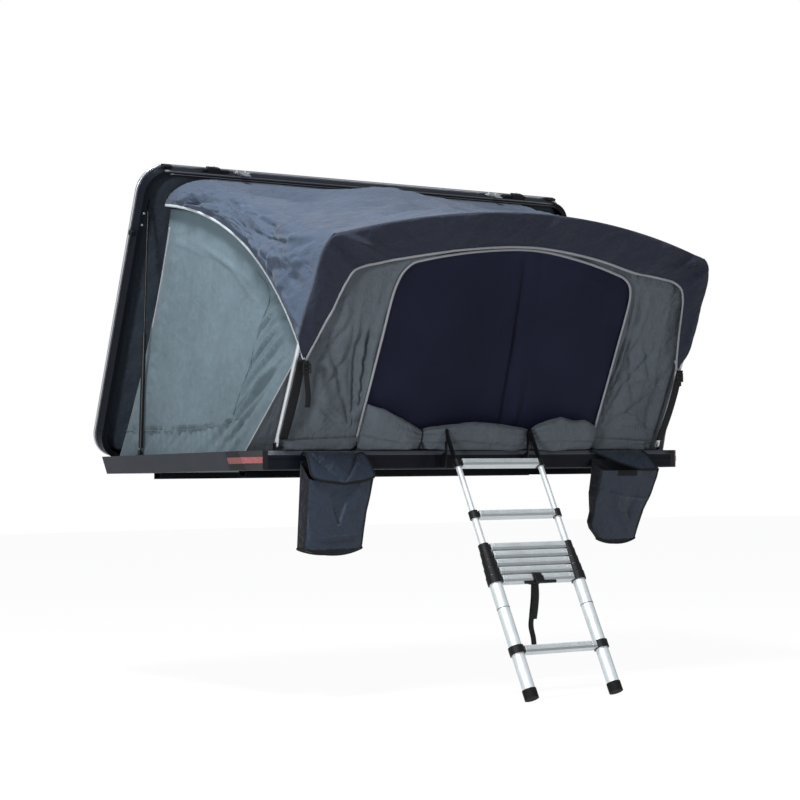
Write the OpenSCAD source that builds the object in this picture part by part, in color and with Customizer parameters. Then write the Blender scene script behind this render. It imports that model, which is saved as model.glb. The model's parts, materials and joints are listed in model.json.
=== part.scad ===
// Side-opening hard shell roof top tent with a telescopic ladder, shown open.
// X runs along the vehicle, the door is at -Y and +Z is up.
// The origin is the centre of the bolt slots, on the underside of the mounting rails.

/* [Tray] */
// Length of the tray
base_l = 2400; // [2100:10:2600]
// Depth of the tray, from the front face to the rear face
base_w = 1360; // [1280:10:1460]
// Height of the tray's frame
base_h = 80; // [70:1:100]
// Depth of the front and rear beams
beam_w = 60; // [50:1:75]
// Wall of the hollow beams
beam_wall = 3; // [2:0.5:5]
// Height of the bevelled stripe at the front of a beam
bevel_h = 20; // [12:1:28]
// Run of the bevelled stripe
bevel_run = 7; // [4:1:10]
// Height of the groove in a beam's outer face
groove_h = 6; // [4:1:10]
// Depth of that groove
groove_d = 3; // [2:0.5:4]
// Cut at the lower outer edge of a beam
foot_cut = 6; // [3:1:9]
// Width of an end panel at its top
end_top_w = 50; // [44:1:60]
// Inward run of an end panel from top to bottom
end_rake = 25; // [10:1:32]
// Length of the cut at the front corners
corner_cut = 75; // [60:1:90]
// Length of a corner block along the end of the tray
corner_run = 110; // [80:1:140]
// Length of a corner block along the front of the tray
corner_front = 25; // [15:1:40]
// Height of a reflector
reflector_h = 26; // [18:1:34]
// Depth of the reflector's top below the tray's top
reflector_drop = 26; // [18:1:36]
// Thickness of a reflector
reflector_t = 1.5; // [1:0.1:3]
// Thickness of the floor panel
floor_t = 12; // [8:1:18]
// Height of the mattress
mattress_h = 58; // [40:1:62]
// Gap round the mattress
mattress_gap = 30; // [20:1:60]

/* [Mounting rails] */
// Distance of a mounting rail's ends from the ends of the tray
rail_end = 140; // [100:10:300]
// Width of a mounting rail
rail_w = 60; // [45:1:80]
// Height of a mounting rail
rail_h = 28; // [22:1:40]
// Wall of a mounting rail
rail_wall = 4; // [3:0.5:6]
// Distance of a mounting rail's middle from the front or rear of the tray
rail_in = 285; // [240:5:340]
// Distance between the bolt slots of one rail
slot_gap = 1000; // [800:10:1200]
// Length of a bolt slot
slot_l = 200; // [100:10:300]
// Width of a bolt slot
slot_w = 9; // [7:0.5:11]

/* [Lid] */
// Angle of the open lid
lid_open = 67.3; // [60:0.1:72]
// Overhang of the lid past each end of the tray
lid_over_x = 12; // [8:1:20]
// Overhang of the lid past the front and rear of the tray
lid_over_y = 23; // [18:1:30]
// Depth of the lid, from its rim to its top
lid_depth = 78; // [74:1:95]
// Corner radius of the lid
lid_r = 130; // [90:1:160]
// Thickness of the lid's skin
skin_t = 2; // [1.5:0.5:4]
// Height of the skin's folded edge
skin_edge_h = 14; // [8:1:24]
// Wall of the folded edge
skin_edge_t = 2; // [1.5:0.5:3]
// Width of the frame's rim
rim_w = 28; // [26:1:32]
// Wall of the lid's frame
frame_wall = 3; // [2:0.5:4]
// Gap between the closed lid's rim and the tray
rim_gap = 2; // [1.5:0.5:3]
// Thickness of the headliner
liner_t = 8; // [4:1:12]
// Width of the rim seal
seal_w = 6; // [4:0.5:7]
// Height of the rim seal
seal_h = 1.5; // [0.8:0.1:1.6]
// Distance of the ends of the fly's keder rail from the ends of the tray
keder_end = 310; // [250:10:450]
// Width of the keder rail
keder_w = 8; // [6:1:12]
// Height of the keder rail
keder_h = 12; // [8:1:16]

/* [Lid hinge] */
// Distance of the lid hinge's ends from the ends of the tray
hinge_end = 200; // [150:10:400]
// Diameter of the hinge pin
hinge_pin_d = 6; // [5:0.5:8]
// Diameter of a knuckle
knuckle_d = 14; // [12:0.5:15]
// Number of knuckles, half of them on each leaf
knuckles = 10; // [6:2:14]
// Thickness of a hinge leaf
leaf_t = 1.7; // [1.2:0.1:1.7]
// Height of the leaf on the rear beam
leaf_h = 36; // [24:1:44]
// Height of the hinge axis below the tray's top
hinge_drop = 8; // [7.8:0.1:9]
// Distance of the hinge axis behind the tray
hinge_back = 10; // [9:0.5:12]

/* [Latches] */
// Distance of a latch from the end of the tray
latch_end = 480; // [400:10:700]
// Distance of a strap buckle from the end of the tray
buckle_end = 330; // [200:10:380]
// Width of a latch plate
latch_w = 46; // [34:1:60]
// Length of a latch lever
lever_l = 66; // [50:1:76]
// Thickness of a latch lever
lever_t = 4; // [3:0.5:6]
// Height of a latch's pivot above the lid's rim
lever_pivot_h = 36; // [30:1:44]
// Diameter of a latch's pivot pin
lever_pin_d = 6; // [5:0.5:7]
// Thickness of a latch plate
latch_t = 2; // [1:0.5:2]
// Thickness of the ears on a latch plate
latch_ear_t = 4; // [3:0.5:6]
// Height of a latch keeper
keeper_h = 14; // [10:1:16]
// Thickness of a latch keeper
keeper_t = 4; // [2:0.5:5]
// Gap between a latch keeper and the closed lid's front face
keeper_gap = 5; // [4:1:10]
// Width of a strap buckle
buckle_w = 60; // [40:1:80]
// Height of a strap buckle
buckle_h = 30; // [20:1:36]
// Depth of a strap buckle
buckle_d = 22; // [14:1:30]

/* [Gas struts] */
// Distance of a strut from the end of the tray
strut_end = 32; // [30:1:36]
// Distance of a strut's foot from the rear of the tray
strut_rear = 334; // [280:1:380]
// Height of a strut's foot pivot above the tray
strut_foot_h = 14; // [13:1:18]
// Distance of a strut's lid pivot from the front of the lid
strut_front = 163; // [140:1:240]
// Height of a strut's lid pivot above the rim
strut_lid_h = 28; // [22:1:36]
// Diameter of a strut's cylinder
strut_d = 20; // [16:1:21]
// Wall of a strut's cylinder
strut_wall = 2; // [1.5:0.5:3]
// Length of a strut's cylinder
strut_cyl_l = 540; // [500:5:600]
// Diameter of a strut's rod
rod_d = 10; // [8:0.5:12]
// Length of a strut's rod that stays inside the cylinder
rod_in = 70; // [60:5:130]
// Diameter of a strut's pivot pin
strut_pin_d = 8; // [6:0.5:9]
// Width of a strut's eye
strut_eye_w = 9; // [7:1:10]
// Radius of a strut's eye
strut_eye_r = 10; // [8:0.5:10.5]
// Thickness of a strut foot's upright plate
strut_plate_t = 5; // [3:0.5:5]
// Thickness of a strut foot's base
strut_base_t = 2; // [1:0.5:2.5]
// Length of the gland at the end of a strut's cylinder
gland_l = 12; // [8:1:16]

/* [Front bow] */
// Distance of a bow leg from the end of the tray
bow_end = 157; // [140:1:200]
// Distance of the bow's pivot behind the front of the tray
bow_in = 30; // [24:1:36]
// Height of the bow's pivot above the tray
bow_h = 24; // [22:1:30]
// Forward lean of the open bow
bow_lean = 25.6; // [22:0.1:28]
// Diameter of the bow's tube
bow_d = 18; // [15:0.5:20]
// Wall of the bow's tube
bow_wall = 1.6; // [1.2:0.1:2.5]
// Length of a lower leg, pivot to pivot
leg_l = 560; // [540:5:580]
// Inward step of the arch beside the legs
arch_step = 26; // [23:0.5:30]
// Height of the arch's middle above the bow's pivot
arch_top = 1070; // [1040:5:1080]
// Drop of the arch from its middle to its shoulders
arch_drop = 150; // [120:5:170]
// Distance of a shoulder below the end of the arch's curve
shoulder_h = 70; // [50:5:90]
// Inward step at a shoulder
shoulder_w = 32; // [20:1:50]
// Diameter of the bow's pivot pins
bow_pin_d = 8; // [6:0.5:9]
// Width of the bow's eyes
bow_eye_w = 9; // [7:1:11]
// Diameter of the bow's eyes
bow_eye_d = 22; // [20.5:0.5:26]
// Thickness of a bow bracket's plate
bow_plate_t = 4; // [3:0.5:6]
// Thickness of a bow bracket's foot
bow_foot_t = 3; // [2:0.5:4]

/* [Fabric] */
// Thickness of the tent's fabric solids
cloth_t = 2; // [1:0.5:4]
// Distance of the door's foot from the ends of the tray
door_end = 555; // [500:5:650]
// Height of the door's foot above the bow's pivot
door_foot = 40; // [30:1:60]
// Height of the door's top above the bow's pivot
door_top = 914; // [850:1:960]
// Height of the door's straight sides
door_side = 730; // [650:5:780]
// Height of the rolled door panel
roll_h = 104; // [90:1:150]
// Depth of the rolled door panel
roll_d = 58; // [40:1:80]
// Depth of the rolled door panel at its ties
roll_tie_d = 26; // [20:1:30]
// Height of the rolled door panel's foot above the bow's pivot
roll_up = 4; // [2:1:40]
// Inset of the rolled door panel's ends from the door's sides
roll_in = 10; // [5:1:30]
// Height of the fly's side edge on a bow leg
fly_side = 400; // [340:5:480]
// Depth of the folds in the cloth
fold_d = 7; // [0:1:12]
// Distance of the fly's side edge from the end of the tray, at the lid
fly_end = 110; // [80:5:140]
// Drop of the fly's side edge below the keder rail, along the lid
fly_edge_drop = 137; // [80:1:180]
// Forward bulge of the fly's side edge
fly_push = 118; // [60:1:140]
// Rise of the fly's side edge
fly_lift = 134; // [80:1:160]
// Sag of the fly between the lid and the bow
fly_sag = 22; // [0:1:40]
// Slack of the cloth round the bow's shoulders
cloth_slack = 6; // [4:1:12]
// Inward step of a side wall under the fly's edge
wall_tuck = 30; // [25:1:40]
// Width of the visor's foot on a leg
visor_foot_w = 42; // [30:1:60]
// Width of the visor at a shoulder
visor_shoulder_w = 166; // [120:1:200]
// Width of the visor at its middle
visor_band = 135; // [100:5:180]

/* [Shoe bags] */
// Width of a shoe bag at its mouth
bag_w = 330; // [300:10:410]
// Inward run of a bag's sides from its mouth to its foot
bag_taper = 25; // [0:5:60]
// Depth of a shoe bag
bag_d = 80; // [60:5:140]
// Height of a shoe bag
bag_h = 400; // [300:10:450]
// Distance of a bag's middle from the end of the tray
bag_end = 415; // [340:5:480]
// Wall of a shoe bag
bag_wall = 3; // [2:0.5:5]
// Gap between a bag's rim and the latch keeper above it
bag_gap = 4; // [2:1:12]

/* [Ladder] */
// Distance between the ladder's tubes
ladder_w = 448; // [400:2:480]
// Lean of the ladder from upright
ladder_lean = 27.3; // [15:0.1:30]
// Height of the ladder's pivot above the tray
ladder_h = 83; // [70:1:95]
// Distance of the ladder's pivot in front of the tray
ladder_out = 44; // [42:1:50]
// Distance from the pivot to the first rung
first_rung = 161; // [150:1:180]
// Distance between two rungs that are pulled out
rung_gap = 250; // [230:1:270]
// Distance between the second and the third rung as shown
second_gap = 157; // [100:1:200]
// Distance between two rungs that are pushed together
stack_gap = 37.5; // [36:0.5:42]
// Distance from the lowest collar to the fixed bottom rung
foot_rung = 321; // [300:1:340]
// Distance from the bottom rung to the end of the tubes
foot_run = 194; // [150:1:210]
// Diameter of the top section's tubes
tube_d = 25; // [22:0.5:28]
// Step in diameter from one section to the next
tube_step = 5; // [4.6:0.2:6]
// Running gap between two telescoping tubes
tube_gap = 0.4; // [0.3:0.05:0.5]
// Length of a section's tubes below its rung
tube_l = 290; // [285:1:300]
// Height of a collar
collar_h = 34; // [28:1:35]
// Wall of a collar
collar_t = 6; // [4:0.5:8]
// Depth of a rung
rung_d = 38; // [28:1:44]
// Height of a rung
rung_h = 30; // [22:1:32]
// Wall of a rung
rung_t = 2; // [1.5:0.5:3]
// Height of a rubber foot
pad_h = 42; // [30:1:60]
// Thickness of the ladder's brackets and arms
arm_t = 6; // [4:0.5:8]
// Diameter of the ladder's pivot pins
ladder_pin_d = 10; // [8:0.5:12]

/* [Clearances] */
// Radial clearance of a pin that turns in its bore
pin_gap = 0.05; // [0.02:0.01:0.1]
// Clearance between parts that pass each other
side_gap = 0.5; // [0.4:0.1:1]
// Clearance between the closed lid's front and the ladder's brackets
lid_pass = 7; // [5:1:9]

/* [Hidden] */
$fn = 48;

front_y = -base_w / 2;
rear_y = base_w / 2;
end_x = base_l / 2;
top_z = rail_h + base_h;
rail_l = base_l - 2 * rail_end;
rail_gap = base_w - 2 * rail_in;
inner_x = end_x - end_top_w;
inner_y = rear_y - beam_w;
beam_end = end_x - corner_cut - corner_front;
panel_front = front_y + corner_cut + corner_run;
floor_top = rail_h + floor_t;
keeper_z = top_z - bevel_h - keeper_h;
bag_x = end_x - bag_end;
bag_top = keeper_z - bag_gap;

lid_l = base_l + 2 * lid_over_x;
lid_w = base_w + 2 * lid_over_y;
rim_z = top_z + rim_gap;
lid_top = rim_z + lid_depth;
frame_l = lid_l - 2 * skin_edge_t;
frame_w = lid_w - 2 * skin_edge_t;
frame_in_x = frame_l / 2 - frame_wall;
keder_l = base_l - 2 * keder_end;
hinge_l = base_l - 2 * hinge_end;
hinge_y = rear_y + hinge_back;
hinge_z = top_z - hinge_drop;
knuckle_l = hinge_l / knuckles;
lid_front = lid_w / 2;
frame_front = -frame_w / 2;
latch_x = end_x - latch_end;
buckle_x = end_x - buckle_end;
lever_y = -lid_front - lever_pin_d / 2 - lever_t;
lever_z = rim_z + lever_pivot_h;

bow_x = end_x - bow_end;
bow_y = front_y + bow_in;
bow_z = top_z + bow_h;
arch_x = bow_x - arch_step;
shoulder_x = arch_x - shoulder_w;
arch_half = 5;
cloth_off = bow_eye_d / 2 + side_gap + cloth_t / 2;
fly_edge_x = end_x - fly_end;
door_w = base_l - 2 * door_end;

strut_x = end_x - strut_end;
strut_foot_y = rear_y - strut_rear;
strut_reach = hinge_y + lid_front - strut_front;
strut_lid = lid_point(hinge_y - strut_reach, rim_z + strut_lid_h);
strut_run = [strut_lid[0] - strut_foot_y, strut_lid[1] - top_z - strut_foot_h];
strut_len = norm(strut_run);
strut_turn = atan2(-strut_run[0], strut_run[1]);
rod_l = strut_len - strut_cyl_l + rod_in;

ladder_y = front_y - ladder_out;
ladder_z = top_z + ladder_h;
stack_top = first_rung + rung_gap + second_gap;
rung_at = [first_rung, first_rung + rung_gap, for (k = [0:4]) stack_top + k * stack_gap];
bottom_rung = rung_at[6] + foot_rung;
ladder_foot = bottom_rung + foot_run;
rung_shell = tube_step / 2 - tube_gap;

// A point of the closed lid, carried to where the open lid has it
function lid_point(y, z) = [
    hinge_y + (y - hinge_y) * cos(lid_open) + (z - hinge_z) * sin(lid_open),
    hinge_z - (y - hinge_y) * sin(lid_open) + (z - hinge_z) * cos(lid_open)
];
// A point inside the lid, by its distance from the hinge and its height over the rim
function in_lid(x, along, h) = let (p = lid_point(hinge_y - along, rim_z + h)) [x, p[0], p[1]];
// A point by the leaning bow, by its height up the bow and its distance behind the bow's plane
function by_bow(x, up, back) = [
    x,
    bow_y - up * sin(bow_lean) + back * cos(bow_lean),
    bow_z + up * cos(bow_lean) + back * sin(bow_lean)
];
// Height of the arch's centre line
function arch_up(x) = arch_top - arch_drop * pow(x / shoulder_x, 2);
function mix(a, b, t) = a + (b - a) * t;
function ease(t) = t * t * (3 - 2 * t);
function hump(t) = 4 * t * (1 - t);
function tube_od(k) = tube_d + tube_step * (k - 1);

// Two grids of points joined into one closed solid
module slab(upper, lower) {
    rows = len(upper);
    cols = len(upper[0]);
    n = rows * cols;
    function at(i, j) = i * cols + j;
    skin = [for (i = [0:rows - 2], j = [0:cols - 2]) each [
        [at(i, j), at(i, j + 1), at(i + 1, j + 1)],
        [at(i, j), at(i + 1, j + 1), at(i + 1, j)],
        [n + at(i, j), n + at(i + 1, j), n + at(i + 1, j + 1)],
        [n + at(i, j), n + at(i + 1, j + 1), n + at(i, j + 1)]
    ]];
    across = [for (j = [0:cols - 2]) each [
        [at(0, j + 1), at(0, j), n + at(0, j)],
        [at(0, j + 1), n + at(0, j), n + at(0, j + 1)],
        [at(rows - 1, j), at(rows - 1, j + 1), n + at(rows - 1, j + 1)],
        [at(rows - 1, j), n + at(rows - 1, j + 1), n + at(rows - 1, j)]
    ]];
    along = [for (i = [0:rows - 2]) each [
        [at(i, 0), at(i + 1, 0), n + at(i + 1, 0)],
        [at(i, 0), n + at(i + 1, 0), n + at(i, 0)],
        [at(i + 1, cols - 1), at(i, cols - 1), n + at(i, cols - 1)],
        [at(i + 1, cols - 1), n + at(i, cols - 1), n + at(i + 1, cols - 1)]
    ]];
    polyhedron([each [for (r = upper) each r], each [for (r = lower) each r]], concat(skin, across, along));
}

// A sheet of cloth of one thickness through a grid of points
module sheet(grid, t) {
    rows = len(grid) - 1;
    cols = len(grid[0]) - 1;
    function step_i(i, j) = grid[min(i + 1, rows)][j] - grid[max(i - 1, 0)][j];
    function step_j(i, j) = grid[i][min(j + 1, cols)] - grid[i][max(j - 1, 0)];
    function side(i, j) = let (n = cross(step_i(i, j), step_j(i, j))) n / norm(n) * t / 2;
    slab(
        [for (i = [0:rows]) [for (j = [0:cols]) grid[i][j] + side(i, j)]],
        [for (i = [0:rows]) [for (j = [0:cols]) grid[i][j] - side(i, j)]]
    );
}

// Closed rings of points joined into one solid
module loft(rings) {
    n = len(rings[0]);
    last = (len(rings) - 1) * n;
    walls = [for (i = [0:len(rings) - 2], k = [0:n - 1]) let (a = i * n + k, d = i * n + (k + 1) % n) each [
        [a, a + n, d + n],
        [a, d + n, d]
    ]];
    ends = [for (k = [1:n - 2]) each [[0, k, k + 1], [last, last + k + 1, last + k]]];
    polyhedron([for (r = rings) each r], concat(walls, ends));
}

module along_x(l) {
    rotate([90, 0, 90]) linear_extrude(l, center = true) children();
}

module along_y(y0, y1) {
    translate([0, y1, 0]) rotate([90, 0, 0]) linear_extrude(y1 - y0) children();
}

module rod_x(x0, x1, d) {
    translate([x0, 0, 0]) rotate([0, 90, 0]) cylinder(d = d, h = x1 - x0);
}

module rounded(x, y, r) {
    square([x - 2 * r, y], center = true);
    square([x, y - 2 * r], center = true);
    for (sx = [-1, 1], sy = [-1, 1]) {
        translate([sx * (x / 2 - r), sy * (y / 2 - r)]) circle(r, $fn = 96);
    }
}

module lid_ring(inset0, inset1, z0, z1) {
    translate([0, 0, z0]) linear_extrude(z1 - z0) difference() {
        rounded(lid_l - 2 * inset0, lid_w - 2 * inset0, lid_r - inset0);
        rounded(lid_l - 2 * inset1, lid_w - 2 * inset1, lid_r - inset1);
    }
}

module on_lid() {
    translate([0, hinge_y, hinge_z]) rotate([-lid_open, 0, 0]) translate([0, -hinge_y, -hinge_z]) children();
}

module on_bow() {
    translate([0, bow_y, bow_z]) rotate([bow_lean, 0, 0]) children();
}

module on_ladder() {
    translate([0, ladder_y, ladder_z]) rotate([-ladder_lean, 0, 0]) children();
}

module on_strut(side) {
    translate([side * strut_x, strut_foot_y, top_z + strut_foot_h]) rotate([strut_turn, 0, 0]) children();
}

module both_sides() {
    for (side = [-1, 1]) mirror([side < 0 ? 1 : 0, 0, 0]) children();
}

module base_floor() {
    color("dimgray") translate([-inner_x, -inner_y, rail_h]) cube([2 * inner_x, 2 * inner_y, floor_t]);
}

// Outline of a hollow beam, with its outer face at u = 0 and its top at v = 0
module beam_outline() {
    groove_top = -bevel_h - 2 * groove_h;
    difference() {
        polygon([
            [bevel_run, 0],
            [0, -bevel_h],
            [0, groove_top],
            [groove_d, groove_top],
            [groove_d, groove_top - groove_h],
            [0, groove_top - groove_h],
            [0, -base_h + foot_cut],
            [foot_cut, -base_h],
            [beam_w, -base_h],
            [beam_w, 0]
        ]);
        translate([bevel_run + beam_wall, -base_h + beam_wall])
            square([beam_w - bevel_run - 2 * beam_wall, base_h - 2 * beam_wall]);
    }
}

module front_beam() {
    color("#1b1d22") translate([0, front_y, top_z]) along_x(2 * beam_end) beam_outline();
}

module rear_beam() {
    color("#1b1d22") translate([0, rear_y, top_z]) along_x(2 * inner_x) mirror([1, 0]) beam_outline();
}

module end_panel() {
    wall = beam_wall;
    along_y(panel_front, rear_y) difference() {
        polygon([[end_x, top_z], [end_x - end_rake, rail_h], [inner_x, rail_h], [inner_x, top_z]]);
        polygon([
            [end_x - 2 * wall, top_z - wall],
            [end_x - end_rake - 2 * wall, rail_h + wall],
            [inner_x + wall, rail_h + wall],
            [inner_x + wall, top_z - wall]
        ]);
    }
}

module left_end_panel() {
    color("#3e414b") mirror([1, 0, 0]) end_panel();
}

module right_end_panel() {
    color("#3e414b") end_panel();
}

// A right-hand corner block, cut across the corner and raked like the end panel
module corner_block() {
    difference() {
        translate([0, 0, rail_h]) linear_extrude(base_h) polygon([
            [beam_end, front_y],
            [end_x - corner_cut, front_y],
            [end_x, front_y + corner_cut],
            [end_x, panel_front],
            [inner_x, panel_front],
            [inner_x, front_y + beam_w],
            [beam_end, front_y + beam_w]
        ]);
        along_y(front_y - corner_cut, panel_front + corner_cut) polygon([
            [end_x + end_rake, top_z + base_h],
            [end_x + base_h, top_z + base_h],
            [end_x + base_h, rail_h - base_h],
            [end_x - 2 * end_rake, rail_h - base_h]
        ]);
    }
}

module left_corner_block() {
    color("#17181c") mirror([1, 0, 0]) corner_block();
}

module right_corner_block() {
    color("#17181c") corner_block();
}

module reflectors() {
    color("darkred") both_sides() difference() {
        intersection() {
            translate([reflector_t, -reflector_t, 0]) corner_block();
            translate([end_x - corner_cut, front_y - corner_cut, top_z - reflector_drop - reflector_h])
                cube([2 * corner_cut, 2 * corner_cut + corner_run - groove_h, reflector_h]);
        }
        corner_block();
    }
}

module mount_rail() {
    color("#202228") difference() {
        translate([-rail_l / 2, -rail_w / 2, 0]) cube([rail_l, rail_w, rail_h]);
        translate([-rail_l, -rail_w / 2 + rail_wall, rail_wall])
            cube([2 * rail_l, rail_w - 2 * rail_wall, rail_h - 2 * rail_wall]);
        for (side = [-1, 1]) translate([side * slot_gap / 2, 0, -rail_wall]) linear_extrude(3 * rail_wall) {
            square([slot_l - slot_w, slot_w], center = true);
            for (end = [-1, 1]) translate([end * (slot_l - slot_w) / 2, 0]) circle(d = slot_w);
        }
    }
}

module front_rail() {
    translate([0, -rail_gap / 2, 0]) mount_rail();
}

module rear_rail() {
    translate([0, rail_gap / 2, 0]) mount_rail();
}

// A foam slab with a crowned top and drawn-in upper edges
module mattress() {
    half_x = beam_end - mattress_gap;
    half_y = inner_y - mattress_gap;
    bottom = floor_top + side_gap;
    rows = 16;
    cols = 20;
    function round_off(u) = pow(max(0, 1 - pow(abs(u), 10)), 0.5);
    function spread(t) = sin(90 * t) * 0.6 + t * 0.4;
    function place(i, j, z) = [spread(2 * j / cols - 1) * half_x, spread(2 * i / rows - 1) * half_y, z];
    function height(i, j) = mattress_h
        * (0.4 + 0.6 * round_off(spread(2 * i / rows - 1)) * round_off(spread(2 * j / cols - 1)));
    color("#6d7175") slab(
        [for (i = [0:rows]) [for (j = [cols:-1:0]) place(i, j, bottom + height(i, j))]],
        [for (i = [0:rows]) [for (j = [cols:-1:0]) place(i, j, bottom)]]
    );
}

module strut_feet() {
    plate_x = strut_x + strut_eye_w / 2 + side_gap;
    plate_t = strut_plate_t;
    color("#202228") both_sides() translate([0, strut_foot_y, top_z]) {
        translate([plate_x, -strut_eye_r, 0]) cube([plate_t, 2 * strut_eye_r, strut_foot_h + strut_eye_r]);
        translate([plate_x - 2 * plate_t, -3 * strut_eye_r, 0]) cube([3 * plate_t, 6 * strut_eye_r, strut_base_t]);
        translate([0, 0, strut_foot_h])
            rod_x(strut_x - strut_eye_w / 2 - side_gap, plate_x + plate_t / 2, strut_pin_d);
    }
}

module bow_brackets() {
    plate_x = bow_x + bow_eye_w / 2 + side_gap;
    plate_t = bow_plate_t;
    color("#202228") both_sides() translate([0, bow_y, top_z]) {
        translate([plate_x, -bow_eye_d / 2, 0]) cube([plate_t, bow_eye_d, bow_h + bow_d / 2]);
        translate([bow_x - bow_d, -bow_in + bevel_run, 0])
            cube([2 * bow_d, beam_w - bevel_run - beam_wall, bow_foot_t]);
        translate([0, 0, bow_h]) rod_x(bow_x - bow_eye_w / 2 - side_gap, plate_x + plate_t / 2, bow_pin_d);
    }
}

// Plates that hold the ladder's pivot in front of the closed lid
module ladder_brackets() {
    bracket_in = lid_over_y + lid_pass;
    tip = arm_t + ladder_pin_d / 2;
    foot_z = -base_h + foot_cut;
    color("#17181c") both_sides() translate([ladder_w / 2, front_y, top_z]) {
        along_x(arm_t) polygon([
            [0, foot_z],
            [-bracket_in, foot_z],
            [-ladder_out - tip, ladder_h],
            [-ladder_out, ladder_h + tip],
            [-bracket_in, ladder_h],
            [-bracket_in, -foot_cut],
            [0, -bevel_h]
        ]);
        translate([-4 * arm_t, -arm_t / 2, foot_z]) cube([8 * arm_t, arm_t / 2, -bevel_h - foot_z]);
        translate([0, -ladder_out, ladder_h]) rod_x(0, 2 * arm_t, ladder_pin_d);
    }
}

module latch_keepers() {
    keeper_d = lid_over_y - keeper_gap;
    color("silver") both_sides() translate([latch_x - latch_w / 2, front_y - keeper_d, keeper_z]) {
        cube([latch_w, keeper_d, keeper_t]);
        cube([latch_w, keeper_t, keeper_h]);
    }
}

module knuckle_row(first) {
    for (k = [first:2:knuckles - 1]) {
        x0 = -hinge_l / 2 + k * knuckle_l + side_gap / 2;
        translate([0, hinge_y, hinge_z]) rod_x(x0, x0 + knuckle_l - side_gap, knuckle_d);
    }
}

module pin_bore() {
    translate([0, hinge_y, hinge_z]) rod_x(-hinge_l, hinge_l, hinge_pin_d + 2 * pin_gap);
}

module hinge_base_leaf() {
    color("dimgray") difference() {
        union() {
            translate([-hinge_l / 2, rear_y, hinge_z - leaf_h]) cube([hinge_l, leaf_t, leaf_h]);
            knuckle_row(0);
            for (k = [0:2:knuckles - 1]) {
                translate([-hinge_l / 2 + k * knuckle_l + side_gap / 2, rear_y, hinge_z - knuckle_d / 2])
                    cube([knuckle_l - side_gap, hinge_back, knuckle_d / 3]);
            }
        }
        pin_bore();
    }
}

module hinge_lid_leaf() {
    web_z = rim_z - hinge_z;
    color("dimgray") on_lid() difference() {
        union() {
            translate([-hinge_l / 2, hinge_y - knuckle_d / 3, rim_z - leaf_t])
                cube([hinge_l, lid_front - hinge_y, leaf_t]);
            knuckle_row(1);
            for (k = [1:2:knuckles - 1]) {
                translate([-hinge_l / 2 + k * knuckle_l + side_gap / 2, hinge_y - knuckle_d / 4, hinge_z])
                    cube([knuckle_l - side_gap, knuckle_d / 2, web_z]);
            }
        }
        pin_bore();
    }
}

module hinge_pin() {
    color("silver") translate([0, hinge_y, hinge_z]) rod_x(-hinge_l / 2, hinge_l / 2, hinge_pin_d);
}

// Front outline of a bag, with the middle of its mouth at the origin
module bag_outline(inset) {
    head = bag_w / 2 - inset;
    foot = head - bag_taper;
    polygon([[-head, 0], [head, 0], [foot, -bag_h], [-foot, -bag_h]]);
}

// An open-topped bag that hangs on the front beam
module shoe_bag(side) {
    color("#343c4b") translate([side * bag_x, front_y - side_gap, bag_top]) difference() {
        along_y(-bag_d, 0) bag_outline(0);
        along_y(-bag_d + bag_wall, -bag_wall) translate([0, bag_wall]) bag_outline(bag_wall);
    }
}

module left_shoe_bag() {
    shoe_bag(-1);
}

module right_shoe_bag() {
    shoe_bag(1);
}

module lid_skin() {
    color("#9a9da3") on_lid() {
        translate([0, 0, lid_top - skin_t]) linear_extrude(skin_t) rounded(lid_l, lid_w, lid_r);
        lid_ring(0, skin_edge_t, lid_top - skin_edge_h, lid_top - skin_t);
    }
}

module lid_frame() {
    wall_in = skin_edge_t + frame_wall;
    under = lid_top - skin_t;
    color("#17181c") on_lid() {
        lid_ring(skin_edge_t, wall_in, rim_z, under);
        lid_ring(wall_in, rim_w, rim_z, rim_z + frame_wall);
        lid_ring(wall_in, rim_w, under - frame_wall, under);
    }
}

module lid_seal() {
    color("#0d0d0f") on_lid() lid_ring(rim_w - seal_w - 1, rim_w - 1, rim_z - seal_h, rim_z);
}

module headliner() {
    gap = rim_w + side_gap;
    under = lid_top - skin_t;
    color("#33363b") on_lid() translate([0, 0, under - liner_t]) linear_extrude(liner_t)
        rounded(lid_l - 2 * gap, lid_w - 2 * gap, lid_r - gap);
}

module keder_rail() {
    color("#8d9096") on_lid() translate([-keder_l / 2, -lid_front + rim_w, rim_z + frame_wall - keder_h / 4])
        cube([keder_l, keder_w, keder_h]);
}

module strut_studs() {
    stud_x = strut_x + strut_eye_w / 2 + side_gap;
    color("#202228") on_lid() both_sides() translate([0, hinge_y - strut_reach, rim_z + strut_lid_h])
        rod_x(stud_x, frame_in_x, strut_pin_d + 4);
}

module latch_plates() {
    ear_at = (latch_w - latch_ear_t) / 2;
    color("silver") on_lid() both_sides() {
        translate([latch_x - latch_w / 2, frame_front - latch_t, rim_z + frame_wall])
            cube([latch_w, latch_t, lever_pivot_h + lever_pin_d]);
        translate([latch_x, lever_y, lever_z]) {
            for (ear = [-ear_at, ear_at]) translate([ear - latch_ear_t / 2, -lever_pin_d, -lever_pin_d])
                cube([latch_ear_t, frame_front - lever_y + lever_pin_d, 2 * lever_pin_d]);
            rod_x(-ear_at, ear_at, lever_pin_d);
        }
    }
}

module latch_lever(side) {
    lever_w = latch_w - 2 * latch_ear_t - 2 * side_gap;
    color("gainsboro") on_lid() translate([side * latch_x, lever_y, lever_z]) difference() {
        union() {
            rod_x(-lever_w / 2, lever_w / 2, lever_pin_d + lever_t);
            translate([-lever_w / 2, -lever_t / 2, -lever_l]) cube([lever_w, lever_t, lever_l]);
        }
        rod_x(-lever_w, lever_w, lever_pin_d + 2 * pin_gap);
    }
}

module left_latch_lever() {
    latch_lever(-1);
}

module right_latch_lever() {
    latch_lever(1);
}

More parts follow.
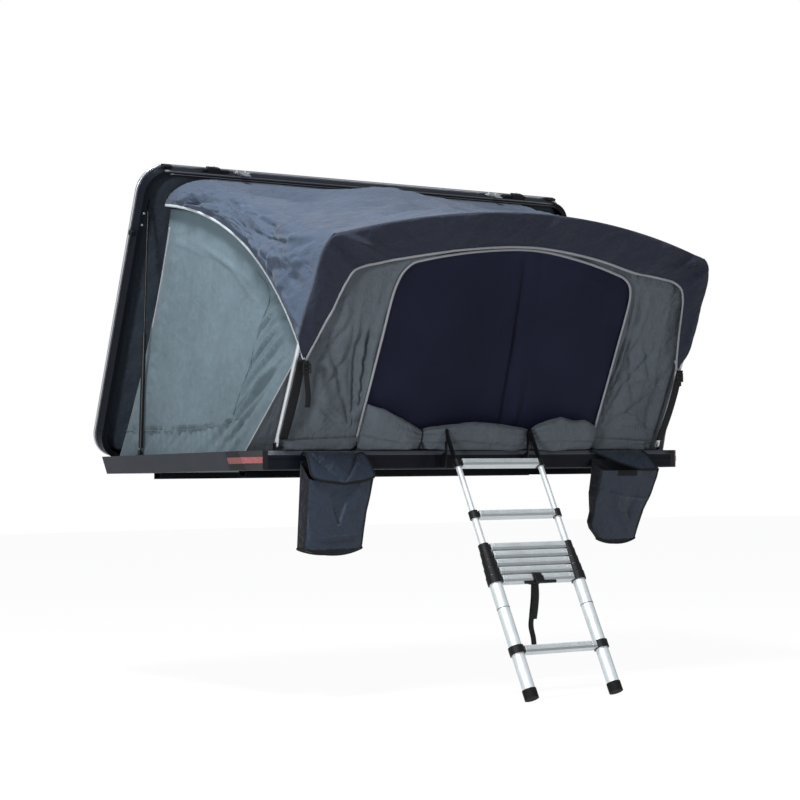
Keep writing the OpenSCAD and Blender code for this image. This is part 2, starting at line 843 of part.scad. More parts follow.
module strap_buckles() {
    color("#17181c") on_lid() both_sides()
        translate([buckle_x - buckle_w / 2, frame_front - buckle_d, rim_z + buckle_h / 2])
            cube([buckle_w, buckle_d, buckle_h]);
}

module bow_eye() {
    rod_x(-bow_eye_w / 2, bow_eye_w / 2, bow_eye_d);
}

// A lower leg on the right, with a flattened eye at its foot and a pin for the arch at its top
module bow_leg() {
    tube_at = norm([bow_eye_d, bow_d]) / 2 + side_gap;
    on_bow() translate([bow_x, 0, 0]) difference() {
        union() {
            translate([-bow_eye_w / 2, -bow_d / 2, 0]) cube([bow_eye_w, bow_d, bow_eye_d]);
            difference() {
                translate([0, 0, tube_at]) cylinder(d = bow_d, h = leg_l - tube_at - bow_d / 3);
                translate([0, 0, bow_eye_d]) cylinder(d = bow_d - 2 * bow_wall, h = leg_l - 2 * bow_eye_d);
            }
            bow_eye();
            translate([0, 0, leg_l]) {
                bow_eye();
                rod_x(-arch_step - bow_eye_w / 2 - 2 * side_gap, 0, bow_pin_d);
            }
        }
        rod_x(-bow_d, bow_d, bow_pin_d + 2 * pin_gap);
    }
}

module left_bow_leg() {
    color("silver") mirror([1, 0, 0]) bow_leg();
}

module right_bow_leg() {
    color("silver") bow_leg();
}

arch_points = concat(
    [[-arch_x, leg_l + bow_d / 3], [-arch_x, arch_up(shoulder_x) - shoulder_h]],
    [for (k = [-arch_half:arch_half]) let (x = shoulder_x * k / arch_half) [x, arch_up(x)]],
    [[arch_x, arch_up(shoulder_x) - shoulder_h], [arch_x, leg_l + bow_d / 3]]
);

// Ring of the bow's tube round a point of the arch
function arch_ring(k) = let (
    last = len(arch_points) - 1,
    p = arch_points[k],
    run = arch_points[min(k + 1, last)] - arch_points[max(k - 1, 0)],
    out = [run[1], -run[0]] / norm(run)
) [for (i = [0:15]) let (a = 360 * i / 16)
    [p[0] + bow_d / 2 * cos(a) * out[0], bow_d / 2 * sin(a), p[1] + bow_d / 2 * cos(a) * out[1]]];

module bow_arch() {
    color("silver") on_bow() difference() {
        union() {
            loft([for (k = [0:len(arch_points) - 1]) arch_ring(k)]);
            for (side = [-1, 1]) translate([side * arch_x, 0, leg_l]) bow_eye();
        }
        for (side = [-1, 1]) translate([side * arch_x, 0, leg_l])
            rod_x(-bow_d, bow_d, bow_pin_d + 2 * pin_gap);
    }
}

module strut_cylinder(side) {
    color("#111215") on_strut(side) difference() {
        union() {
            rod_x(-strut_eye_w / 2, strut_eye_w / 2, 2 * strut_eye_r);
            translate([0, 0, strut_pin_d]) cylinder(d = strut_wall * 4, h = 2 * gland_l);
            translate([0, 0, strut_pin_d + gland_l]) cylinder(d = strut_d, h = strut_cyl_l - strut_pin_d - gland_l);
        }
        rod_x(-strut_d, strut_d, strut_pin_d + 2 * pin_gap);
        translate([0, 0, 3 * gland_l]) cylinder(d = strut_d - 2 * strut_wall, h = strut_cyl_l - 4 * gland_l);
        translate([0, 0, 3 * gland_l]) cylinder(d = rod_d + 2 * pin_gap, h = strut_cyl_l);
    }
}

module left_strut_cylinder() {
    strut_cylinder(-1);
}

module right_strut_cylinder() {
    strut_cylinder(1);
}

module strut_rod(side) {
    rod_end = strut_len - strut_pin_d;
    piston_h = 10;
    color("silver") on_strut(side) {
        translate([0, 0, rod_end - rod_l]) cylinder(d = rod_d, h = rod_l);
        translate([0, 0, rod_end - rod_l]) cylinder(d = strut_d - 2 * strut_wall - 2 * side_gap, h = piston_h);
        translate([0, 0, strut_len]) difference() {
            rod_x(-strut_eye_w / 2, strut_eye_w / 2, 2 * strut_eye_r);
            rod_x(-strut_d, strut_d, strut_pin_d + 2 * pin_gap);
        }
    }
}

module left_strut_rod() {
    strut_rod(-1);
}

module right_strut_rod() {
    strut_rod(1);
}

// The fly's columns from its middle to its ridge, and from there to its side edge
ridge_cols = 9;
edge_cols = 7;
keder_along = hinge_y + lid_front - rim_w - keder_w / 2;
shoulder_up = arch_up(shoulder_x);
shoulder_off = cloth_off + cloth_slack;

// The fly's edge on the lid, from the keder rail to the side edge
function fly_on_lid(j) = j <= ridge_cols
    ? in_lid(keder_l / 2 * j / ridge_cols, keder_along, -side_gap)
    : let (s = (j - ridge_cols) / edge_cols)
        in_lid(mix(keder_l / 2, fly_edge_x, s), keder_along - fly_edge_drop * s, keder_h * s);

// Points of the fly's edge round a shoulder of the bow and down the outside of a leg
fly_down = [
    [shoulder_x + cloth_off / 3, shoulder_up + cloth_off],
    [shoulder_x + shoulder_off * cos(45), shoulder_up + shoulder_off * sin(45)],
    [arch_x + shoulder_off, shoulder_up - shoulder_h + shoulder_off / 3],
    [bow_x, mix(shoulder_up - shoulder_h, leg_l, 0.5)],
    [bow_x + cloth_off, leg_l],
    for (k = [1:3]) [bow_x + cloth_off, mix(leg_l, fly_side, k / 3)]
];
function fly_on_bow(j) = let (
    x = shoulder_x * j / ridge_cols,
    p = j < ridge_cols ? [x, arch_up(x) + cloth_off] : fly_down[j - ridge_cols]
) by_bow(p[0], p[1], 0);
function fly_bulge(j) = ease(max(0, (j - ridge_cols) / edge_cols));
function fly_point(v, j) = let (b = fly_bulge(j)) mix(fly_on_lid(j), fly_on_bow(j), v)
    + hump(v) * [0, -fly_push * b, fly_lift * b - fly_sag * (1 - b)]
    + hump(v) * [0, 0, fold_d * sin(540 * v + 45 * j)];

module fly() {
    rows = 14;
    cols = ridge_cols + edge_cols;
    color("#5b6172") sheet(
        [for (i = [0:rows]) [for (j = [-cols:cols])
            let (p = fly_point(i / rows, abs(j))) [(j < 0 ? -1 : 1) * p[0], p[1], p[2]]]],
        cloth_t
    );
}

// Share of the visor's edge that runs up a leg
visor_leg = 0.35;

// Outer edge of the visor, up a leg and along the arch to the middle
function visor_outer(t) = t < visor_leg
    ? [bow_x - cloth_t, mix(fly_side, shoulder_up - shoulder_h, t / visor_leg)]
    : let (x = shoulder_x * (1 - t) / (1 - visor_leg)) [x, arch_up(x)];
// Inner edge of the visor, over the door
function visor_inner(t) = let (
    foot = [bow_x - visor_foot_w, fly_side],
    shoulder = [bow_x - visor_shoulder_w, shoulder_up - visor_band],
    s = (t - visor_leg) / (1 - visor_leg)
) t < visor_leg
    ? mix(foot, shoulder, t / visor_leg)
    : [shoulder[0] * (1 - s), mix(shoulder[1], arch_top - visor_band, sin(90 * s))];

module visor() {
    rows = 4;
    cols = 20;
    color("#26292f") sheet(
        [for (i = [0:rows]) [for (j = [-cols:cols])
            let (t = 1 - abs(j) / cols, p = mix(visor_outer(t), visor_inner(t), i / rows))
            by_bow((j < 0 ? -1 : 1) * p[0], p[1], -cloth_off - hump(i / rows) * fold_d)]],
        cloth_t
    );
}

// A side wall on the right, from the tray up to the fly's side edge
module side_wall() {
    rows = 12;
    cols = 16;
    wall_x = inner_x - side_gap - cloth_t / 2;
    wall_foot = top_z - bevel_h;
    rear_gap = 10;
    front_gap = 45;
    function foot(v) = [wall_x, mix(inner_y - rear_gap, front_y + corner_cut + front_gap, v), wall_foot];
    function head(v) = fly_point(v, ridge_cols + edge_cols)
        + [-wall_tuck - fold_d * hump(v), 0, wall_tuck * (v - 0.5)];
    function fold(u, v) = fold_d * hump(u) * (sin(900 * v + 260 * u) + 0.6 * sin(540 * (u - v)));
    sheet(
        [for (i = [0:rows]) [for (j = [0:cols])
            let (u = i / rows, v = j / cols) mix(foot(v), head(v), u) + [fold(u, v) * hump(v), 0, 0]]],
        cloth_t
    );
}

module left_wall() {
    color("#76868c") mirror([1, 0, 0]) side_wall();
}

module right_wall() {
    color("#76868c") side_wall();
}

module door_outline(inset) {
    half = door_w / 2 - inset;
    rise = door_top - door_side - inset;
    arc_n = 12;
    polygon(concat(
        [[-half, door_foot + inset], [half, door_foot + inset]],
        [for (k = [0:2 * arc_n]) let (a = 90 * k / arc_n) [half * cos(a), door_side + rise * pow(sin(a), 0.7)]]
    ));
}

module in_bow_plane(back, t) {
    on_bow() translate([0, back + t, 0]) rotate([90, 0, 0]) linear_extrude(t) children();
}

wall_back = bow_eye_d / 2 + side_gap;

module front_wall() {
    top_n = 10;
    edge_x = arch_x + 5;
    wall_head = arch_up(shoulder_x) - shoulder_h;
    color("#4b5054") in_bow_plane(wall_back, cloth_t) difference() {
        polygon(concat(
            [[-edge_x, door_foot / 2], [edge_x, door_foot / 2], [edge_x, wall_head]],
            [for (k = [-top_n:top_n]) let (x = -shoulder_x * k / top_n) [x, arch_up(x) - bow_d / 2]],
            [[-edge_x, wall_head]]
        ));
        door_outline(0);
    }
}

module mesh_door() {
    color("#1c202a") in_bow_plane(wall_back, cloth_t / 2) door_outline(side_gap);
}

// The door panel rolled down, tied flat behind the two ladder brackets
module door_roll() {
    rings = 36;
    sides = 16;
    half = door_w / 2 - roll_in;
    tie_run = 60;
    function tied(x) = exp(-pow((abs(x) - ladder_w / 2) / tie_run, 2));
    function rounding(x) = pow(max(0.02, 1 - pow(abs(x / half), 14)), 0.5);
    function depth(x) = mix(roll_d, roll_tie_d, tied(x)) * rounding(x);
    function height(x) = roll_h * mix(1, 0.85, tied(x)) * rounding(x);
    color("#54585c") loft([for (i = [0:rings]) let (x = mix(-half, half, i / rings)) [for (k = [0:sides - 1])
        let (a = 360 * k / sides) by_bow(
            x,
            roll_up + (roll_h - height(x)) / 4 + height(x) / 2 * (1 + sin(a)),
            wall_back - side_gap - depth(x) / 2 * (1 - cos(a))
        )]]);
}

module ladder_arms() {
    boss_d = 2 * arm_t + ladder_pin_d;
    arm_l = first_rung - collar_h / 2;
    color("#17181c") on_ladder() both_sides() translate([ladder_w / 2, 0, 0]) {
        translate([arm_t / 2 + side_gap, 0, 0]) difference() {
            union() {
                translate([0, -boss_d / 2, -arm_l]) cube([arm_t, boss_d, arm_l]);
                rod_x(0, arm_t, boss_d);
            }
            rod_x(-arm_t, 2 * arm_t, ladder_pin_d + 2 * pin_gap);
        }
        translate([0, 0, -first_rung - collar_h / 2]) difference() {
            cylinder(d = tube_d + 2 * collar_t, h = collar_h);
            translate([0, 0, -collar_t]) cylinder(d = tube_d, h = collar_h);
        }
    }
}

module tube_pair(k, from, to) {
    for (side = [-1, 1]) translate([side * ladder_w / 2, 0, -to]) difference() {
        cylinder(d = tube_od(k), h = to - from);
        translate([0, 0, -1]) cylinder(d = tube_od(k) - 2 * rung_shell, h = to - from + 2);
    }
}

module rung(at, reach) {
    translate([0, 0, -at]) difference() {
        cube([reach, rung_d, rung_h], center = true);
        cube([2 * reach, rung_d - 2 * rung_t, rung_h - 2 * rung_t], center = true);
    }
}

module collar_pair(od, bore, at) {
    for (side = [-1, 1]) translate([side * ladder_w / 2, 0, -at - collar_h / 2]) difference() {
        cylinder(d = od + 2 * collar_t, h = collar_h);
        translate([0, 0, -1]) cylinder(d = bore, h = collar_h + 2);
    }
}

function rung_reach(k) = ladder_w - tube_od(k) - 2 * collar_t;

module ladder_section(k) {
    at = rung_at[k - 1];
    from = at - collar_h / 2 + (k == 1 ? collar_t : 0);
    color("#c9ccd0") on_ladder() {
        tube_pair(k, from, k == 7 ? ladder_foot : at + tube_l);
        rung(at, rung_reach(k));
        if (k == 7) rung(bottom_rung, rung_reach(k));
    }
}

module ladder_collars(k) {
    color("#17181c") on_ladder() {
        collar_pair(tube_od(k), tube_od(k), rung_at[k - 1]);
        if (k == 7) collar_pair(tube_od(k), tube_od(k), bottom_rung);
    }
}

module ladder_feet() {
    grip = pad_h / 2;
    color("#17181c") on_ladder() for (side = [-1, 1]) {
        translate([side * ladder_w / 2, 0, -ladder_foot - pad_h + grip]) difference() {
            cylinder(d = tube_od(7) + collar_t, h = pad_h);
            translate([0, 0, pad_h - grip]) cylinder(d = tube_od(7), h = pad_h);
        }
    }
}

base_floor();
front_beam();
rear_beam();
left_end_panel();
right_end_panel();
left_corner_block();
right_corner_block();
reflectors();
front_rail();
rear_rail();
mattress();
strut_feet();
bow_brackets();
ladder_brackets();
latch_keepers();
hinge_base_leaf();
hinge_pin();
left_shoe_bag();
right_shoe_bag();
lid_skin();
lid_frame();
lid_seal();
headliner();
keder_rail();
hinge_lid_leaf();
strut_studs();
latch_plates();
strap_buckles();
left_latch_lever();
right_latch_lever();
left_bow_leg();
right_bow_leg();
bow_arch();
left_strut_cylinder();
right_strut_cylinder();
left_strut_rod();
right_strut_rod();
fly();
visor();
left_wall();
right_wall();
front_wall();
mesh_door();
door_roll();
ladder_arms();
ladder_feet();
for (k = [1:7]) ladder_section(k);
for (k = [2:7]) ladder_collars(k);
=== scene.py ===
"""Looks of the roof top tent: cloth, trim, bags, finishes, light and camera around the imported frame."""
import json
import math

import bmesh
import bpy
import numpy as np
from mathutils import Matrix, Vector


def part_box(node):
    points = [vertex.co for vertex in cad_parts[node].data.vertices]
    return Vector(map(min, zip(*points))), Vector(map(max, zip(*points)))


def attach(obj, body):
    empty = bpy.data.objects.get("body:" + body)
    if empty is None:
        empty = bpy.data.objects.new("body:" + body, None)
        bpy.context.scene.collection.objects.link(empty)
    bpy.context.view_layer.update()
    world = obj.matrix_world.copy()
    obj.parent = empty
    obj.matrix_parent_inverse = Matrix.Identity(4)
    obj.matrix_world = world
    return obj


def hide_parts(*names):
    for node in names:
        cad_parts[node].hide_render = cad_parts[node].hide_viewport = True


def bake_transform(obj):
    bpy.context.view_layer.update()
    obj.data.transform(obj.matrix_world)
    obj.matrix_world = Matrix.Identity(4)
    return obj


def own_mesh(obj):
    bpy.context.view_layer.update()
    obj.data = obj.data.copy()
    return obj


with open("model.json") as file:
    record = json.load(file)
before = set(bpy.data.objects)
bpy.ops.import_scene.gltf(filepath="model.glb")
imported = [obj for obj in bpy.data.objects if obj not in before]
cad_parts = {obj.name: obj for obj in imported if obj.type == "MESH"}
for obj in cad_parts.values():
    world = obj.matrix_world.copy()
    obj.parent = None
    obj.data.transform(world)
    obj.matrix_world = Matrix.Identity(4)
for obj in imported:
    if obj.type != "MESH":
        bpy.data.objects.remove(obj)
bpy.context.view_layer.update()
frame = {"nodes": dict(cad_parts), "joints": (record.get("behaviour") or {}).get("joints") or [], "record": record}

# Places taken from the frame
JOINTS = {j["name"]: j for j in frame["joints"]}
HINGE, BOW, ELBOW, LADDER = (
    np.array(JOINTS[name]["pos_m"]) for name in ("lid_hinge", "bow_leg_fold", "bow_elbow", "ladder_swing")
)
LID_TURN = math.radians(JOINTS["lid_hinge"]["range_deg"][1])

# Unit directions: across the tent's door, and of the open lid, the leaning bow and the leaning ladder
ACROSS = np.array([1.0, 0, 0])
LID_ALONG = np.array([0, -math.cos(LID_TURN), math.sin(LID_TURN)])
LID_OUT = np.array([0, math.sin(LID_TURN), math.cos(LID_TURN)])
BOW_UP = (ELBOW - BOW) / np.linalg.norm(ELBOW - BOW)
BOW_BACK = np.array([0, BOW_UP[2], -BOW_UP[1]])
LADDER_DOWN = np.array(JOINTS["ladder_slide_1"]["axis"])
LADDER_FRONT = np.array([0, LADDER_DOWN[2], -LADDER_DOWN[1]])
LID_AXES = (ACROSS, LID_ALONG, LID_OUT)
LADDER_AXES = (ACROSS, LADDER_DOWN, LADDER_FRONT)

# Each side's name, the sign of its x, and its column at the edge of a grid
SIDES = (("left", -1, 0), ("right", 1, -1))

# Sizes shared by several pieces, in metres
RIM_UP = 0.010
TRAY_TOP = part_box("front_beam")[1].z
END_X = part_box("right_end_panel")[1].x
BOW_X = 1.043
ARCH_X = 1.017
ELBOW_UP = float(np.linalg.norm(ELBOW - BOW))
ARCH_TOP = 1.070
ARCH_DROP = 0.150
SHOULDER_X = 0.985
SHOULDER_UP = ARCH_TOP - ARCH_DROP
TUBE_R = 0.009
CLOTH_OFF = 0.0125
CLOTH_T = 0.0012
KEDER_HALF = 0.890
KEDER_ALONG = 1.361
FLY_SIDE = 0.400
LADDER_HALF = (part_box("ladder_arms")[1].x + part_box("ladder_arms")[0].x) / 2 + 0.224


def spot(origin, x, a, along_a, b, along_b):
    """A point, or an array of points, at x and at two distances from an origin's line along x."""
    x, a, b = (np.asarray(value)[..., None] for value in np.broadcast_arrays(x, a, b))
    return origin * (0, 1, 1) + x * ACROSS + a * along_a + b * along_b


def on_lid(x, along, h):
    """A place by the open lid: distance from the hinge, and height over the rim's plane."""
    return spot(HINGE, x, along, LID_ALONG, np.add(h, RIM_UP), LID_OUT)


def by_bow(x, up, back):
    """A place by the leaning bow: height up the bow, and distance behind its plane."""
    return spot(BOW, x, up, BOW_UP, back, BOW_BACK)


def on_ladder(x, down, front):
    """A place by the ladder: distance down from its pivot, and in front of its tubes' plane."""
    return spot(LADDER, x, down, LADDER_DOWN, front, LADDER_FRONT)


def arch_up(x):
    """Height of the arch's centre line."""
    return ARCH_TOP - ARCH_DROP * (x / SHOULDER_X) ** 2


def mix(a, b, t):
    return a + (b - a) * t


def ease(t):
    t = np.clip(t, 0, 1)
    return t * t * (3 - 2 * t)


def hump(t):
    return 4 * t * (1 - t)


def bell(t):
    return np.exp(-t ** 2)


def unit(v):
    """Vectors of length one, along the last axis of an array."""
    return v / np.maximum(np.linalg.norm(v, axis=-1, keepdims=True), 1e-9)


def angles(n):
    """n angles evenly spaced round a circle."""
    return np.linspace(0, 2 * math.pi, n, endpoint=False)


def rounded_square(a, power):
    """Points of a circle at given angles, pressed out towards a square."""
    c, s = np.cos(a), np.sin(a)
    grow = (np.abs(c) ** power + np.abs(s) ** power) ** (-1 / power)
    return c * grow, s * grow


def mean_near(values, away_squared, reach):
    """Mean of values, weighted by how near each is to a place."""
    weight = np.exp(-away_squared / reach ** 2) + 1e-12
    return (values * weight).sum() / weight.sum()


def shares(rows, cols):
    """Two grids from 0 to 1: the share of the way down the rows, and across the columns."""
    return np.meshgrid(np.linspace(0, 1, rows), np.linspace(0, 1, cols), indexing="ij")


# Noise and folds, the same on every run
CELLS = 64
LATTICE = np.random.default_rng(7).random((CELLS, CELLS, CELLS)) * 2 - 1


def noise3(u, v, w):
    """Smooth value noise at places given in lattice cells."""
    p = np.stack(np.broadcast_arrays(u, v, w), -1)
    cell = np.floor(p).astype(int)
    f = ease(p - cell)
    total = 0
    for corner in np.ndindex(2, 2, 2):
        weight = np.where(corner, f, 1 - f).prod(-1)
        i = (cell + corner) % CELLS
        total = total + weight * LATTICE[i[..., 0], i[..., 1], i[..., 2]]
    return total


def folds(a, b, size_a, size_b, seed, octaves=3):
    """Rounded folds over two coordinates, with a fold length along each."""
    return sum(
        0.5 ** k * noise3(a / size_a * 2 ** k, b / size_b * 2 ** k, seed + 9.1 * k) for k in range(octaves)
    )


def sharp_folds(a, b, size_a, size_b, seed):
    """Creases with sharp crests between soft hollows."""
    coarse = noise3(a / size_a, b / size_b, seed)
    fine = noise3(a / size_a * 2.3, b / size_b * 2.3, seed + 5.5)
    return 1 - 2 * np.abs(coarse) + 0.5 * (1 - 2 * np.abs(fine))


def facets(a, b, size, seed):
    """Heights over flat facets that meet in sharp creases."""
    u, v = a / size, b / size
    warp = (0.8 * u, 0.8 * v, seed)
    u, v = u + 0.45 * noise3(*warp), v + 0.45 * noise3(*(w + 17.3 for w in warp))
    i, j = np.floor(u).astype(int), np.floor(v).astype(int)
    f, g = u - i, v - j
    corners = ((0, 0), (1, 0), (0, 1), (1, 1))
    h00, h10, h01, h11 = (
        LATTICE[(i + di) % CELLS, (j + dj) % CELLS, int(seed) % CELLS] for di, dj in corners
    )
    near = h00 + (h10 - h00) * f + (h01 - h00) * g
    far = h11 + (h01 - h11) * (1 - f) + (h10 - h11) * (1 - g)
    right = h00 + (h10 - h00) * f + (h11 - h10) * g
    left = h00 + (h11 - h01) * f + (h01 - h00) * g
    return np.where(h00 * h11 > 0, np.where(f + g < 1, near, far), np.where(f > g, right, left))


def crumple(a, b, size, seed):
    """Crumpled cloth: facets of three sizes, turned against each other."""
    total = facets(a, b, size, seed)
    total = total + 0.5 * facets(0.8 * a + 0.6 * b, 0.8 * b - 0.6 * a, size / 2.2, seed + 3)
    return total + 0.25 * facets(0.6 * a - 0.8 * b, 0.6 * b + 0.8 * a, size / 4.5, seed + 7)


def crease(a, b, start, end, width, depth):
    """One crease between two points of a sheet's own coordinates."""
    ax, ay = start
    dx, dy = end[0] - ax, end[1] - ay
    t = np.clip(((a - ax) * dx + (b - ay) * dy) / (dx * dx + dy * dy), 0, 1)
    away = np.hypot(a - ax - t * dx, b - ay - t * dy)
    return depth * bell(away / width) * np.sqrt(np.maximum(hump(t), 0.05))


def creases(a, b, lines, width, depth):
    return sum(crease(a, b, start, end, width, depth) for start, end in lines)


def smooth_path(points, n):
    """n points evenly spaced on a rounded curve through the given ones."""
    p = np.array(points, float)
    p = np.vstack([2 * p[0] - p[1], p, 2 * p[-1] - p[-2]])
    t = np.linspace(0, 1, 24, endpoint=False)[:, None]
    fine = []
    for k in range(1, len(p) - 2):
        p0, p1, p2, p3 = p[k - 1:k + 3]
        t0, t1, t2 = (np.sqrt(np.linalg.norm(step)) + 1e-9 for step in (p1 - p0, p2 - p1, p3 - p2))
        m1 = (p2 - p1) + t1 * ((p1 - p0) / t0 - (p2 - p0) / (t0 + t1))
        m2 = (p2 - p1) + t1 * ((p3 - p2) / t2 - (p3 - p1) / (t1 + t2))
        ends = (2 * t**3 - 3 * t**2 + 1) * p1 + (3 * t**2 - 2 * t**3) * p2
        fine.append(ends + (t**3 - 2 * t**2 + t) * m1 + (t**3 - t**2) * m2)
    fine = np.vstack([*fine, p[-2]])
    run = np.concatenate([[0], np.cumsum(np.linalg.norm(np.diff(fine, axis=0), axis=1))])
    at = np.linspace(0, run[-1], n)
    return np.stack([np.interp(at, run, column) for column in fine.T], -1)


# Materials
def add(tree, kind, inputs=(), **settings):
    """A node with its settings, and its inputs set or linked by name or index."""
    node = tree.nodes.new(kind)
    for key, value in settings.items():
        setattr(node, key, value)
    for key, value in dict(inputs).items():
        socket = node.inputs[key]
        if isinstance(value, bpy.types.NodeSocket):
            tree.links.new(value, socket)
        else:
            socket.default_value = value
    return node


def math_node(tree, operation, a, b):
    return add(tree, "ShaderNodeMath", {0: a, 1: b}, operation=operation).outputs[0]


class Look:
    """A material in the making: its shader, and the patterns that feed it."""

    def __init__(self, name, rough, metallic=0.0, **sockets):
        self.material = bpy.data.materials.new(name)
        self.material.use_nodes = True
        self.tree = self.material.node_tree
        self.shader = self.tree.nodes["Principled BSDF"]
        self.place = add(self.tree, "ShaderNodeTexCoord").outputs["Object"]
        self.rough = rough
        self.normal = None
        sockets.update(Roughness=rough, Metallic=metallic)
        for key, value in sockets.items():
            self.shader.inputs[key.replace("_", " ")].default_value = value

    def feed(self, output, socket):
        self.tree.links.new(output, self.shader.inputs[socket])

    def noise(self, scale, detail=4.0, rough=0.55, vector=None, output="Fac"):
        inputs = {"Vector": vector or self.place, "Scale": scale, "Detail": detail, "Roughness": rough}
        return add(self.tree, "ShaderNodeTexNoise", inputs).outputs[output]

    def cells(self, scale, detail=0.0, vector=None, **settings):
        inputs = {"Vector": vector or self.place, "Scale": scale, "Detail": detail}
        return add(self.tree, "ShaderNodeTexVoronoi", inputs, **settings).outputs["Distance"]

    def waves(self, scale, distortion, direction):
        inputs = {"Vector": self.place, "Scale": scale, "Distortion": distortion}
        return add(self.tree, "ShaderNodeTexWave", inputs, bands_direction=direction).outputs["Fac"]

    def math(self, operation, a, b):
        return math_node(self.tree, operation, a, b)

    def total(self, a, share_a, b, share_b):
        return self.math("ADD", self.math("MULTIPLY", a, share_a), self.math("MULTIPLY", b, share_b))

    def tint(self, pattern, colour, *stops):
        """Colours the shader by a pattern, through stops of a position and a factor on the colour."""
        node = add(self.tree, "ShaderNodeValToRGB", {"Fac": pattern})
        elements = node.color_ramp.elements
        while len(elements) < len(stops):
            elements.new(0.5)
        for element, (at, factor) in zip(elements, stops):
            element.position = at
            element.color = (*(min(1.0, c * factor) for c in colour), 1)
        self.feed(node.outputs["Color"], "Base Color")

    def roughen(self, pattern, less, more):
        inputs = {"Value": pattern, "To Min": self.rough - less, "To Max": self.rough + more}
        self.feed(add(self.tree, "ShaderNodeMapRange", inputs).outputs["Result"], "Roughness")

    def bump(self, height, strength, distance):
        """Adds a relief over the ones added before."""
        inputs = {"Height": height, "Strength": strength, "Distance": distance}
        node = add(self.tree, "ShaderNodeBump", inputs)
        if self.normal:
            self.tree.links.new(self.normal, node.inputs["Normal"])
        self.normal = node.outputs["Normal"]
        self.feed(self.normal, "Normal")


def cloth(name, colour, rough=0.75, sheen=0.05, gloss=0.25, patch=0.16, rumple=0.35, painted_shade_by_height=0.0):
    """Coated tent cloth: uneven dye, optional painted shade that darkens it towards the bottom and lightens it
    towards the top, a rumpled surface and a fine weave.
    """
    look = Look(name, rough, Sheen_Weight=sheen, Sheen_Roughness=0.5, Specular_IOR_Level=gloss)
    fine = look.noise(35.0)
    tone = look.total(look.noise(2.2, 5.0), 0.7, fine, 0.3)
    # Painted shade: the colour darkens with the object's height below 0.55 and lightens above it, as if light fell
    # from above.
    if painted_shade_by_height:
        height = add(look.tree, "ShaderNodeSeparateXYZ", {0: look.place}).outputs["Z"]
        tone = look.math("ADD", tone, look.math("MULTIPLY", look.math("SUBTRACT", height, 0.55), painted_shade_by_height))
    look.tint(tone, colour, (0.3, 1 - patch), (0.5, 1), (0.72, 1 + patch))
    warp = look.noise(6.0, 3.0, 0.5, output="Color")
    scaled = {0: warp, "Scale": 0.16}
    bent = add(look.tree, "ShaderNodeVectorMath", scaled, operation="SCALE").outputs["Vector"]
    shifted = {0: look.place, 1: bent}
    moved = add(look.tree, "ShaderNodeVectorMath", shifted, operation="ADD").outputs["Vector"]
    look.bump(look.total(look.noise(9.0, 5.0, 0.6), 0.5, look.cells(17.0, 2.0, moved), 0.8), rumple, 0.016)
    x, y, z = (look.waves(45.0, 0.6, axis) for axis in "XYZ")
    look.bump(look.math("ADD", look.math("MULTIPLY", x, z), y), 0.25, 0.0006)
    look.roughen(fine, 0.1, 0.1)
    return look.material


def coat(name, colour, rough=0.42, gloss=0.35, depth=0.0004):
    """Powder coat or moulded plastic: a fine orange-peel grain with rubbed patches."""
    look = Look(name, rough, Specular_IOR_Level=gloss)
    wear_marks = look.noise(6.0, 6.0, 0.65)
    look.tint(wear_marks, colour, (0.3, 0.90), (0.55, 1), (0.8, 1.25))
    look.bump(look.noise(420.0, 2.0), 0.35, depth)
    look.roughen(wear_marks, 0.08, 0.12)
    return look.material


def metal(name, colour, rough=0.32, along=(1, 1, 1), share=1.0):
    """Drawn aluminium or steel with fine lines along the piece and dull handling marks."""
    look = Look(name, rough, share)
    stretched = add(look.tree, "ShaderNodeMapping", {"Vector": look.place, "Scale": along}).outputs["Vector"]
    lines = look.noise(240.0, 3.0, 0.6, stretched)
    tone = look.total(lines, 0.55, look.noise(9.0, 5.0), 0.45)
    look.tint(tone, colour, (0.3, 0.86), (0.55, 1), (0.75, 1.08))
    look.roughen(tone, 0.1, 0.14)
    look.bump(lines, 0.25, 0.0003)
    return look.material


def net(name, colour):
    """Insect mesh: a dark knitted net with a soft sheen."""
    look = Look(name, 0.62, Specular_IOR_Level=0.12, Alpha=0.80)
    cells = look.cells(620.0)
    look.tint(look.total(cells, 0.35, look.noise(1.6), 0.8), colour, (0.3, 0.7), (0.55, 1), (0.8, 1.5))
    look.bump(look.noise(5.0, 5.0), 0.3, 0.01)
    look.bump(cells, 0.4, 0.0008)
    return look.material


def reflector(name, colour):
    """Red reflector plastic with a grid of prisms under a clear face."""
    look = Look(name, 0.34, Coat_Weight=0.2, Coat_Roughness=0.2)
    cells = look.cells(240.0, distance="MANHATTAN")
    look.tint(cells, colour, (0.1, 0.55), (0.5, 1), (0.9, 1.7))
    look.bump(cells, 0.5, 0.0015)
    return look.material


def webbing(name, colour):
    """Ribbed woven tape."""
    look = Look(name, 0.7, Specular_IOR_Level=0.2)
    ribs = look.waves(130.0, 1.0, "DIAGONAL")
    look.tint(look.total(ribs, 0.5, look.noise(40.0), 0.5), colour, (0.25, 0.6), (0.55, 1), (0.8, 1.6))
    look.bump(ribs, 0.5, 0.0008)
    return look.material


